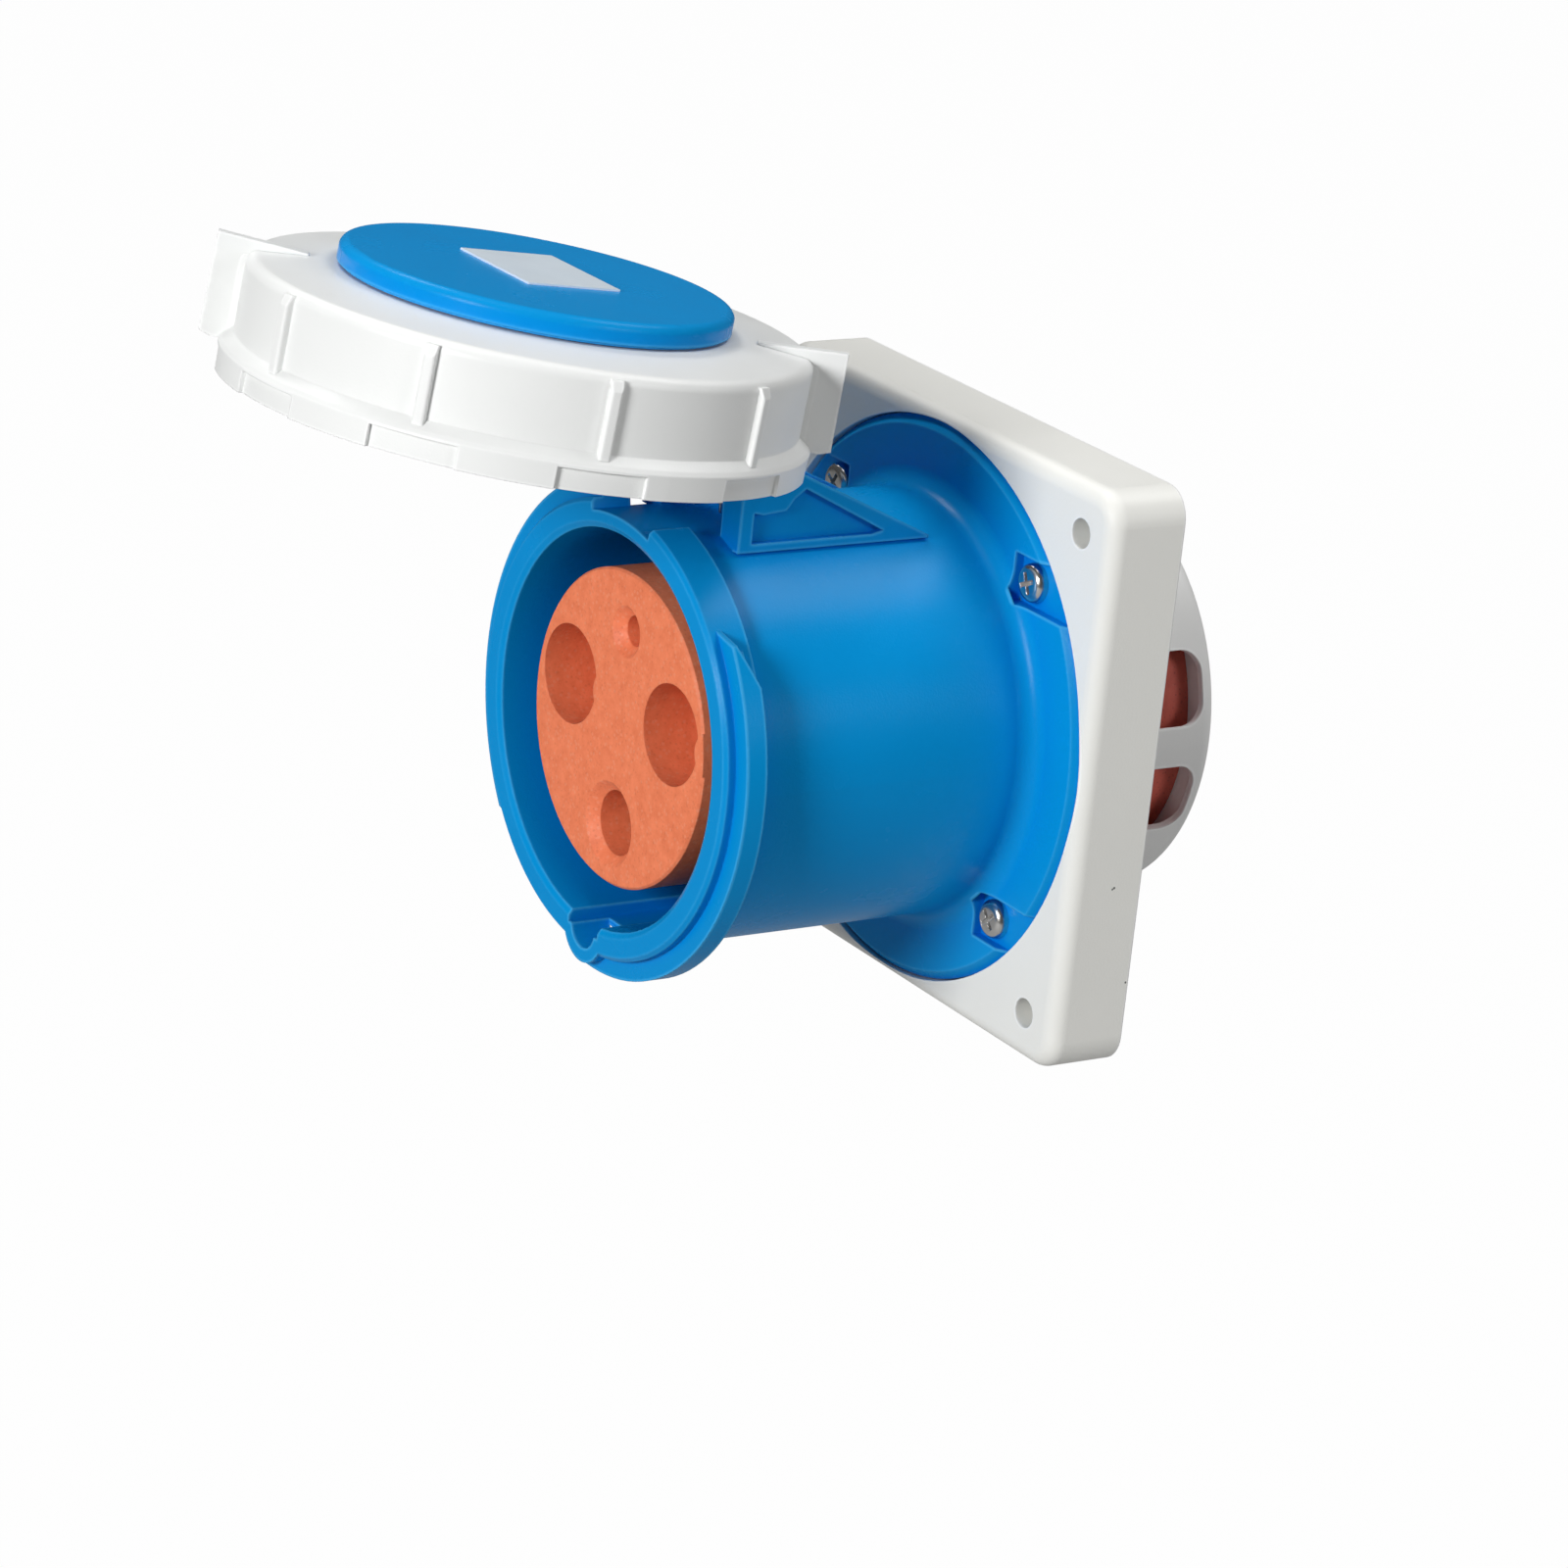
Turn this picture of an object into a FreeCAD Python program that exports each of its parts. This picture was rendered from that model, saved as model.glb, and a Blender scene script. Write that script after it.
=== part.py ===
import FreeCAD, Part
import math
import os
import Sketcher

# Panel socket of the round-pin kind: a square plate on the wall (wall face y = 0, front towards -Y),
# a blue tube housing with a contact carrier inside, a cage behind the plate, and a hinged lid
# whose locking ring grips two ramps on the tube's mouth. Depths below are distances in front
# of the wall face; negative depths lie behind it. Angles are seen from the front, from +X to +Z.

doc = FreeCAD.newDocument("WallSocket")
sheet = doc.addObject("Spreadsheet::Sheet", "Sizes")
sheet.Label = "Sizes"


class Size:
    """A length that keeps its value and the sheet expression that gives it."""

    def __init__(self, value, text):
        self.value = float(value)
        self.text = text

    def joined(self, other, sign, result):
        return Size(result, "(" + self.text + " " + sign + " " + asSize(other).text + ")")

    def __add__(self, other):
        return self.joined(other, "+", self.value + asSize(other).value)

    def __sub__(self, other):
        return self.joined(other, "-", self.value - asSize(other).value)

    def __mul__(self, other):
        return self.joined(other, "*", self.value * asSize(other).value)

    def __truediv__(self, other):
        return self.joined(other, "/", self.value / asSize(other).value)

    def __neg__(self):
        return Size(-self.value, "(0 - " + self.text + ")")


def asSize(number):
    return number if isinstance(number, Size) else Size(number, repr(float(number)))


rowCount = 0


def size(alias, value):
    global rowCount
    rowCount += 1
    sheet.set("A%d" % rowCount, alias)
    sheet.set("B%d" % rowCount, repr(value))
    sheet.setAlias("B%d" % rowCount, alias)
    return Size(value, "Sizes." + alias)


def polar(radius, degrees):
    turn = math.radians(degrees)
    return radius * math.cos(turn), radius * math.sin(turn)


# ---- contacts and the carrier round them; radii grow outwards from here
contactRadius = size("contactRadius", 20.0)
poleAngle = size("poleAngle", 15.0)
poleMouth = size("poleMouth", 10.1)
poleMouthDepth = size("poleMouthDepth", 20.0)
poleFloor = size("poleFloor", 4.3)
polePin = size("polePin", 5.0)
earthMouth = size("earthMouth", 6.6)
earthSink = size("earthSink", 2.1)
earthDrop = size("earthDrop", 14.3)
earthPin = size("earthPin", 6.0)
pilotPin = size("pilotPin", 3.0)
pilotSink = size("pilotSink", 2.15)
pilotDrop = size("pilotDrop", 27.3)
entryClearance = size("entryClearance", 0.05)
sleeveWall = size("sleeveWall", 2.0)
sleeveClearance = size("sleeveClearance", 0.1)
barrelStep = size("barrelStep", 0.3)
barrelEnd = size("barrelEnd", 20.0)
terminalPlace = size("terminalPlace", 13.0)
terminalRadius = size("terminalRadius", 2.5)
carrierWall = size("carrierWall", 1.9)
carrierSetback = size("carrierSetback", 3.8)
carrierFlange = size("carrierFlange", 4.0)
seatClearance = size("seatClearance", 0.3)

# ---- housing
shroudGap = size("shroudGap", 8.1)
tubeWall = size("tubeWall", 3.5)
tubeRoot = size("tubeRoot", 4.0)
rimDepth = size("rimDepth", 91.1)
rimBevel = size("rimBevel", 0.8)
collarHeight = size("collarHeight", 2.3)
collarLength = size("collarLength", 8.8)
rampHeight = size("rampHeight", 4.1)
rampSetback = size("rampSetback", 2.5)
rampThickness = size("rampThickness", 4.5)
rampStart = size("rampStart", 36.8)
rampEnd = size("rampEnd", 262.0)
rampLead = size("rampLead", 8.5)
rampTip = size("rampTip", 1.1)
notchSpan = size("notchSpan", 28.0)
keyHalfWidth = size("keyHalfWidth", 4.4)
keyReach = size("keyReach", 1.2)
keyLip = size("keyLip", 2.9)
keyGroove = size("keyGroove", 2.0)
keyFunnel = size("keyFunnel", 1.2)
chamberStep = size("chamberStep", 2.9)
neckWall = size("neckWall", 4.0)
neckBack = size("neckBack", 1.5)
shelfThickness = size("shelfThickness", 6.5)
flangeOverlap = size("flangeOverlap", 10.8)
flangeThickness = size("flangeThickness", 6.3)
flangeBevel = size("flangeBevel", 1.8)
screwOffset = size("screwOffset", 3.0)
screwPocket = size("screwPocket", 10.1)
screwPocketDepth = size("screwPocketDepth", 2.2)

# ---- plate and its seals
plateBorder = size("plateBorder", 2.2)
plateDepth = size("plateDepth", 17.3)
plateCorner = size("plateCorner", 6.5)
plateEdge = size("plateEdge", 3.4)
plateWall = size("plateWall", 5.0)
plateFloor = size("plateFloor", 1.9)
recessDepth = size("recessDepth", 5.8)
fixingMargin = size("fixingMargin", 10.0)
fixingRadius = size("fixingRadius", 3.0)
fixingWall = size("fixingWall", 3.0)
sealThickness = size("sealThickness", 1.6)
sealWidth = size("sealWidth", 2.4)
sealMargin = size("sealMargin", 1.5)

# ---- carriers and cage behind the plate
rearStep = size("rearStep", 4.5)
rearTail = size("rearTail", 5.3)
cageClearance = size("cageClearance", 0.5)
cageWall = size("cageWall", 1.6)
cageRound = size("cageRound", 3.2)
cageBack = size("cageBack", 3.0)
cageRim = size("cageRim", 4.7)
windowAngle = size("windowAngle", 16.2)
windowWidth = size("windowWidth", 15.4)
windowStart = size("windowStart", 0.4)
windowMargin = size("windowMargin", 0.7)
windowRound = size("windowRound", 4.6)

# ---- lid, as it lies when closed
sealGap = size("sealGap", 0.3)
lidSealThickness = size("lidSealThickness", 2.1)
lidSealOverlap = size("lidSealOverlap", 0.7)
capThickness = size("capThickness", 2.4)
capClearance = size("capClearance", 2.9)
ringGap = size("ringGap", 0.3)
ringTop = size("ringTop", 2.6)
ringClearance = size("ringClearance", 2.2)
ringWall = size("ringWall", 2.3)
ringHeight = size("ringHeight", 23.6)
skirtStep = size("skirtStep", 2.6)
skirtLength = size("skirtLength", 5.6)
ribCount = size("ribCount", 10)
ribAngle = size("ribAngle", 58.5)
ribWidth = size("ribWidth", 2.4)
ribHeight = size("ribHeight", 1.5)
ribRound = size("ribRound", 0.6)
ringRound = size("ringRound", 2.2)
recessSpan = size("recessSpan", 17.5)
recessSink = size("recessSink", 0.9)
wingProud = size("wingProud", 6.5)
wingThickness = size("wingThickness", 2.2)
lugReach = size("lugReach", 4.1)
lugThickness = size("lugThickness", 3.5)
lugClearance = size("lugClearance", 0.6)
lugSpan = size("lugSpan", 28.0)
discRadius = size("discRadius", 38.0)
discThickness = size("discThickness", 4.6)
discRound = size("discRound", 1.7)
discOverhang = size("discOverhang", 5.3)
lidScrewInset = size("lidScrewInset", 8.7)
labelWidth = size("labelWidth", 26.0)
labelHeight = size("labelHeight", 20.4)
labelThickness = size("labelThickness", 0.4)

# ---- hinge
webClearance = size("webClearance", 0.5)
webLead = size("webLead", 7.5)
webTail = size("webTail", 37.0)
webInner = size("webInner", 14.0)
webThickness = size("webThickness", 4.0)
webPanel = size("webPanel", 1.7)
webBar = size("webBar", 3.0)
webLip = size("webLip", 2.8)
webLipDepth = size("webLipDepth", 2.5)
pinSkin = size("pinSkin", 1.1)
hingeRise = size("hingeRise", 7.9)
hingeBoss = size("hingeBoss", 5.7)
pinRadius = size("pinRadius", 2.0)
pinClearance = size("pinClearance", 0.06)
sideClearance = size("sideClearance", 0.4)
lidAngle = size("lidAngle", 97.1)
armHalfWidth = size("armHalfWidth", 10.0)
armThickness = size("armThickness", 3.5)
armClearance = size("armClearance", 1.9)
knuckleWall = size("knuckleWall", 2.34)
springSlot = size("springSlot", 4.6)
springFit = size("springFit", 0.65)
springWire = size("springWire", 0.45)
springPitch = size("springPitch", 1.3)
springTurns = size("springTurns", 5)
springLeg = size("springLeg", 6.8)
springLegAngle = size("springLegAngle", 37.0)

# ---- fasteners
panHead = size("panHead", 4.0)
panHeight = size("panHeight", 2.5)
housingShank = size("housingShank", 1.65)
housingScrewLength = size("housingScrewLength", 12.0)
smallHead = size("smallHead", 2.7)
smallHeight = size("smallHeight", 1.9)
smallShank = size("smallShank", 1.4)
smallLength = size("smallLength", 8.0)
holeClearance = size("holeClearance", 0.05)

# ---- sizes that follow from the ones above
carrierRadius = contactRadius + poleMouth + carrierWall
boreRadius = carrierRadius + shroudGap
tubeRadius = boreRadius + tubeWall
collarRadius = tubeRadius + collarHeight
rampRadius = collarRadius + rampHeight
chamberRadius = boreRadius + chamberStep
neckRadius = chamberRadius + neckWall
flangeRadius = neckRadius + flangeOverlap
screwPitch = (neckRadius + screwOffset) * math.sqrt(2)
plateHalf = flangeRadius + plateBorder
fixingPitch = (plateHalf - fixingMargin) * 2
flangeBack = plateDepth - recessDepth
flangeFront = flangeBack + flangeThickness
plateHollow = flangeBack - sealThickness - plateFloor
shelfBack = flangeBack + carrierFlange
shelfFront = shelfBack + shelfThickness
carrierDepth = rimDepth - carrierSetback
poleFront = carrierDepth - poleMouthDepth - poleFloor
earthFront = carrierDepth - earthDrop
pilotFront = carrierDepth - pilotDrop
barrelRadius = earthPin + sleeveWall + barrelStep
rearRadius = carrierRadius + rearStep
rearEnd = barrelEnd + rearTail
carrierScrewCircle = rearRadius + smallHead + 0.6
cageScrewCircle = rearRadius - 4.3
collarBack = rimDepth - collarLength
rampFront = rimDepth - rampSetback
rampBack = rampFront - rampThickness
ringInner = rampRadius + ringClearance
ringOuter = ringInner + ringWall
skirtRadius = ringOuter + skirtStep
sealBack = rimDepth + sealGap
capBack = sealBack + lidSealThickness
capFront = capBack + capThickness
ringSeat = capFront + ringGap + ringTop
lidFace = ringSeat + ringGap
ringBack = lidFace - ringHeight
hubRadius = discRadius - discOverhang
webFront = ringBack - webClearance
hingeDepth = webFront - webLead
hingeHeight = tubeRadius + hingeRise
armTop = ringInner - armClearance
knuckleRadius = pinRadius + pinClearance + knuckleWall
springRadius = pinRadius + springFit + springWire
doc.recompute()

subParts = []


def newBody(label):
    body = doc.addObject("PartDesign::Body", label)
    body.Label = label
    subParts.append(body)
    return body


def newSketch(body, role, name, offset=None, turn=0.0, away=0.0):
    """Sketch on one of the body's own planes, turned about the socket axis where asked."""
    sketch = body.newObject("Sketcher::SketchObject", name)
    plane = [item for item in body.Origin.OriginFeatures if item.Role == role][0]
    sketch.AttachmentSupport = [(plane, "")]
    sketch.MapMode = "FlatFace"
    axis = FreeCAD.Vector(1, 0, 0) if role == "YZ_Plane" else FreeCAD.Vector(0, 1, 0)
    rotation = FreeCAD.Rotation(axis, -turn)
    base = rotation.multVec(FreeCAD.Vector(0, 0, away))
    sketch.AttachmentOffset = FreeCAD.Placement(base, rotation)
    if offset is not None:
        shift = asSize(offset)
        sketch.AttachmentOffset = FreeCAD.Placement(FreeCAD.Vector(0, 0, shift.value), rotation)
        sketch.setExpression("AttachmentOffset.Base.z", shift.text)
    return sketch


def pin(sketch, kind, place, vertex, value):
    """Fixes one coordinate of a vertex, or a radius, to a sheet expression."""
    length = asSize(value)
    if kind == "Radius":
        number = sketch.addConstraint(Sketcher.Constraint(kind, place, length.value))
    else:
        number = sketch.addConstraint(Sketcher.Constraint(kind, place, vertex, length.value))
    sketch.setExpression("Constraints[%d]" % number, length.text)


def drawLoop(sketch, points):
    """Closed loop of straight lines; every corner is tied to the sheet."""
    corners = [FreeCAD.Vector(asSize(u).value, asSize(v).value, 0) for u, v in points]
    count = len(corners)
    first = len(sketch.Geometry)
    for place in range(count):
        sketch.addGeometry(Part.LineSegment(corners[place], corners[(place + 1) % count]), False)
    for place in range(count):
        following = first + (place + 1) % count
        sketch.addConstraint(Sketcher.Constraint("Coincident", first + place, 2, following, 1))
    for place, (u, v) in enumerate(points):
        pin(sketch, "DistanceX", first + place, 1, u)
        pin(sketch, "DistanceY", first + place, 1, v)


def drawCircle(sketch, across, up, radius):
    centre = FreeCAD.Vector(asSize(across).value, asSize(up).value, 0)
    circle = Part.Circle(centre, FreeCAD.Vector(0, 0, 1), asSize(radius).value)
    place = sketch.addGeometry(circle, False)
    pin(sketch, "Radius", place, 0, radius)
    pin(sketch, "DistanceX", place, 3, across)
    pin(sketch, "DistanceY", place, 3, up)


def drawBox(sketch, left, low, right, high):
    drawLoop(sketch, [(left, low), (right, low), (right, high), (left, high)])


def drawMitred(sketch, half, cut):
    near = half - cut
    drawLoop(sketch, [(-near, -half), (near, -half), (half, -near), (half, near),
                      (near, half), (-near, half), (-half, near), (-half, -near)])


def turned(body, name, profile, span=360.0, at=0.0, cut=False):
    """Revolves a profile of (radius, depth) corners about the socket axis."""
    sketch = newSketch(body, "XY_Plane", name + "Profile", turn=at)
    drawLoop(sketch, [(radius, -asSize(depth)) for radius, depth in profile])
    kind = "PartDesign::Groove" if cut else "PartDesign::Revolution"
    feature = body.newObject(kind, name)
    feature.Profile = sketch
    feature.ReferenceAxis = (sketch, ["V_Axis"])
    width = asSize(span)
    feature.Angle = width.value
    if isinstance(span, Size):
        feature.setExpression("Angle", width.text)
    feature.Midplane = width.value < 360
    sketch.Visibility = False
    doc.recompute()
    return feature


def padded(body, name, sketch, length):
    feature = body.newObject("PartDesign::Pad", name)
    feature.Profile = sketch
    feature.Length = asSize(length).value
    feature.setExpression("Length", asSize(length).text)
    sketch.Visibility = False
    doc.recompute()
    return feature


def pocketed(body, name, sketch, length, reverse=False):
    """Pocket against the sketch's normal, or along it when reversed; it must remove material."""
    before = body.Tip.Shape.Volume
    feature = body.newObject("PartDesign::Pocket", name)
    feature.Profile = sketch
    feature.Length = asSize(length).value
    feature.setExpression("Length", asSize(length).text)
    feature.Reversed = reverse
    sketch.Visibility = False
    doc.recompute()
    if feature.Shape.Volume > before - 0.01:
        raise RuntimeError(body.Label + " " + name + " removes nothing")
    return feature


def repeated(body, name, originals, count):
    pattern = body.newObject("PartDesign::PolarPattern", name)
    pattern.Originals = originals
    axis = [item for item in body.Origin.OriginFeatures if item.Role == "Y_Axis"][0]
    pattern.Axis = (axis, [""])
    pattern.Angle = 360
    pattern.Occurrences = int(asSize(count).value)
    if isinstance(count, Size):
        pattern.setExpression("Occurrences", count.text)
    body.Tip = pattern
    doc.recompute()
    return pattern


def rounded(body, name, radius, test):
    """Fillet on the edges of the present shape that pass the test."""
    base = body.Tip
    names = ["Edge%d" % (n + 1) for n, edge in enumerate(base.Shape.Edges) if test(edge)]
    feature = body.newObject("PartDesign::Fillet", name)
    feature.Base = (base, names)
    feature.Radius = asSize(radius).value
    feature.setExpression("Radius", asSize(radius).text)
    doc.recompute()
    return feature


def bevelled(body, name, width, test):
    """Chamfer on the edges of the present shape that pass the test."""
    base = body.Tip
    names = ["Edge%d" % (n + 1) for n, edge in enumerate(base.Shape.Edges) if test(edge)]
    feature = body.newObject("PartDesign::Chamfer", name)
    feature.Base = (base, names)
    feature.Size = asSize(width).value
    feature.setExpression("Size", asSize(width).text)
    doc.recompute()
    return feature


def circleAt(depth, radius):
    """Test for round edges of one radius that lie at one depth."""
    def test(edge):
        curve = edge.Curve
        if not hasattr(curve, "Radius") or abs(curve.Radius - radius) > 0.005:
            return False
        return abs(edge.BoundBox.YMin + depth) < 0.01 and abs(edge.BoundBox.YMax + depth) < 0.01
    return test


def edgeAt(depth, least=0.0):
    """Test for edges that lie wholly at one depth and reach out past a least radius."""
    def test(edge):
        box = edge.BoundBox
        flat = abs(box.YMin + depth) < 0.01 and abs(box.YMax + depth) < 0.01
        reach = max(abs(box.XMin), abs(box.XMax), abs(box.ZMin), abs(box.ZMax))
        return flat and reach > least
    return test


def corners(half):
    spot = half / 2
    return [(spot, spot), (-spot, spot), (-spot, -spot), (spot, -spot)]


def place(body, x=0.0, depth=0.0, z=0.0, axis=None, degrees=0.0):
    rotation = FreeCAD.Rotation(FreeCAD.Vector(*axis), degrees) if axis else FreeCAD.Rotation()
    body.Placement = FreeCAD.Placement(FreeCAD.Vector(x, -depth, z), rotation)


def openLid(body):
    """Swings a piece of the lid from its closed place to the open one about the hinge pin."""
    centre = FreeCAD.Vector(0, -hingeDepth.value, hingeHeight.value)
    rotation = FreeCAD.Rotation(FreeCAD.Vector(1, 0, 0), -lidAngle.value)
    swing = FreeCAD.Placement(FreeCAD.Vector(0, 0, 0), rotation, centre)
    body.Placement = swing.multiply(body.Placement)


# ---- mounting plate: thick rounded square, hollow behind, with a recess for the housing's flange
plate = newBody("mounting_plate")
sketch = newSketch(plate, "XZ_Plane", "PlateOutline", offset=0.0)
half = plateHalf
drawBox(sketch, -half, -half, half, half)
padded(plate, "PlateBlock", sketch, plateDepth)
rounded(plate, "PlateCorners", plateCorner, lambda edge: edge.BoundBox.YLength > plateDepth.value - 0.1)
rounded(plate, "PlateFrontEdge", plateEdge, edgeAt(plateDepth.value))
sketch = newSketch(plate, "XZ_Plane", "HollowOutline", offset=0.0)
inside = half - plateWall
drawBox(sketch, -inside, -inside, inside, inside)
pocketed(plate, "PlateHollow", sketch, plateHollow, reverse=True)
hubWall = neckRadius + screwOffset + panHead
sketch = newSketch(plate, "XZ_Plane", "HubOutline", offset=0.0)
drawCircle(sketch, 0, 0, hubWall)
padded(plate, "ScrewHub", sketch, plateHollow)
sketch = newSketch(plate, "XZ_Plane", "BossOutline", offset=0.0)
for across, up in corners(fixingPitch):
    drawCircle(sketch, across, up, fixingRadius + fixingWall)
padded(plate, "FixingBosses", sketch, plateHollow)
sketch = newSketch(plate, "XZ_Plane", "RecessOutline", offset=plateDepth)
drawCircle(sketch, 0, 0, flangeRadius + seatClearance)
pocketed(plate, "FlangeRecess", sketch, plateDepth - flangeBack)
sketch = newSketch(plate, "XZ_Plane", "BoreOutline", offset=plateDepth)
drawCircle(sketch, 0, 0, neckRadius + seatClearance)
pocketed(plate, "NeckBore", sketch, plateDepth)
sketch = newSketch(plate, "XZ_Plane", "FixingOutline", offset=plateDepth)
for across, up in corners(fixingPitch):
    drawCircle(sketch, across, up, fixingRadius)
pocketed(plate, "FixingHoles", sketch, plateDepth)
sketch = newSketch(plate, "XZ_Plane", "ScrewOutline", offset=flangeBack)
for across, up in corners(screwPitch):
    drawCircle(sketch, across, up, housingShank + holeClearance)
pocketed(plate, "ScrewHoles", sketch, flangeBack)
grooveOut = half - (plateWall - sealWidth) / 2
grooveIn = grooveOut - sealWidth
grooveMitre = plateCorner * 0.7
sketch = newSketch(plate, "XZ_Plane", "GrooveOutline", offset=0.0)
drawMitred(sketch, grooveOut, grooveMitre)
drawMitred(sketch, grooveIn, grooveMitre - sealWidth * 0.59)
pocketed(plate, "GasketGroove", sketch, sealThickness, reverse=True)
flangeSealOut = flangeRadius - sealMargin
flangeSealIn = flangeSealOut - sealWidth
sealFloor = flangeBack - sealThickness
turned(plate, "SealGroove", [(flangeSealIn, flangeBack), (flangeSealOut, flangeBack),
                             (flangeSealOut, sealFloor), (flangeSealIn, sealFloor)], cut=True)

# ---- wall gasket, flush in the groove of the plate's back
gasket = newBody("wall_gasket")
sketch = newSketch(gasket, "XZ_Plane", "GasketOutline", offset=0.0)
drawMitred(sketch, grooveOut, grooveMitre)
drawMitred(sketch, grooveIn, grooveMitre - sealWidth * 0.59)
padded(gasket, "GasketCord", sketch, sealThickness)

# ---- flat seal under the housing's flange
flangeSeal = newBody("flange_seal")
turned(flangeSeal, "SealRing", [(flangeSealIn, sealFloor), (flangeSealOut, sealFloor),
                                (flangeSealOut, flangeBack), (flangeSealIn, flangeBack)])

# ---- socket housing: neck, flange, tube, collar and shelf in one turned profile
shelfHole = carrierRadius + 1.0
housing = newBody("socket_housing")
turned(housing, "HousingShell", [
    (neckRadius, neckBack), (neckRadius, flangeBack), (flangeRadius, flangeBack),
    (flangeRadius, flangeFront - flangeBevel), (flangeRadius - flangeBevel, flangeFront),
    (tubeRadius, flangeFront), (tubeRadius, collarBack), (collarRadius, collarBack),
    (collarRadius, rimDepth - rimBevel), (collarRadius - rimBevel, rimDepth),
    (boreRadius + 1.2, rimDepth), (boreRadius, rimDepth - 0.8),
    (boreRadius, shelfFront), (shelfHole, shelfFront), (shelfHole, shelfBack),
    (chamberRadius, shelfBack), (chamberRadius, neckBack)])
rounded(housing, "TubeRoot", tubeRoot, circleAt(flangeFront.value, tubeRadius.value))
rampProfile = [(collarRadius - 0.5, rampBack), (rampRadius, rampBack),
               (rampRadius, rampFront), (collarRadius - 0.5, rampFront)]
rightSpan = rampStart + (360.0 - rampEnd.value)
rightMiddle = (rampStart.value - (360.0 - rampEnd.value)) / 2
turned(housing, "RightRamp", rampProfile, span=rightSpan.value, at=rightMiddle)
notchEdge = 90 + notchSpan.value / 2
leftEnd = 180 + rampStart.value
turned(housing, "LeftRamp", rampProfile, span=leftEnd - notchEdge, at=(leftEnd + notchEdge) / 2)

# each ramp starts with a slanted end and a thin tip, so that the ring's lug finds its back face
leadStand = rampRadius + 5.0
for number, angle in enumerate((rampStart.value, 180 + rampStart.value)):
    sketch = newSketch(housing, "XY_Plane", "RampTip%d" % number, turn=angle - 90, away=leadStand.value)
    drawLoop(sketch, [(-1.0, -rampBack + 1.0), (-1.0, -rampFront + rampTip),
                      (0.2, -rampFront + rampTip), (rampLead, -rampBack), (rampLead, -rampBack + 1.0)])
    pocketed(housing, "RampLead%d" % number, sketch, leadStand - collarRadius - 0.2)
    sketch = newSketch(housing, "XZ_Plane", "RampSlantOutline%d" % number, offset=rampFront - rampTip)
    near = polar(1.0, angle - 1.0)
    far = polar(1.0, angle + 6.5)
    tip = polar(1.0, angle)
    low = collarRadius - 0.4
    drawLoop(sketch, [(low * near[0], low * near[1]), (rampRadius * near[0], rampRadius * near[1]),
                      (rampRadius * tip[0], rampRadius * tip[1]), (low * far[0], low * far[1])])
    padded(housing, "RampSlant%d" % number, sketch, rampTip)

keyCentre = boreRadius + keyReach
# lip round the keyway notch, then the notch and the long groove that guides the key
sketch = newSketch(housing, "XZ_Plane", "KeyLipOutline", offset=collarBack)
drawCircle(sketch, 0, -keyCentre, keyHalfWidth + keyLip)
padded(housing, "KeyLip", sketch, collarLength)
turned(housing, "MouthClear", [(0, shelfFront), (boreRadius, shelfFront), (boreRadius, rimDepth - 0.8),
                               (boreRadius + 1.2, rimDepth), (boreRadius + 1.2, rimDepth + 1),
                               (0, rimDepth + 1)], cut=True)
sketch = newSketch(housing, "XZ_Plane", "NotchRound", offset=rimDepth)
drawCircle(sketch, 0, -keyCentre, keyHalfWidth)
pocketed(housing, "KeyNotchRound", sketch, collarLength)
sketch = newSketch(housing, "XZ_Plane", "NotchSides", offset=rimDepth)
keyTop = boreRadius - 4.0
keyMouth = keyHalfWidth + keyFunnel
drawLoop(sketch, [(-keyHalfWidth, -keyCentre), (keyHalfWidth, -keyCentre), (keyMouth, -boreRadius),
                  (keyMouth, -keyTop), (-keyMouth, -keyTop), (-keyMouth, -boreRadius)])
pocketed(housing, "KeyNotchSides", sketch, collarLength)
sketch = newSketch(housing, "XZ_Plane", "GrooveSides", offset=rimDepth)
keyFloor = boreRadius + keyGroove
drawBox(sketch, -keyMouth, -keyFloor, keyMouth, -keyTop)
pocketed(housing, "KeyGroove", sketch, rimDepth - shelfFront)

# the collar is cut away on top, where the lid's arm passes
turned(housing, "ArmNotch", [(tubeRadius, collarBack - 0.5), (rampRadius + 1, collarBack - 0.5),
                             (rampRadius + 1, rimDepth + 0.5), (tubeRadius, rimDepth + 0.5)],
       span=notchSpan, at=90.0, cut=True)

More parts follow.
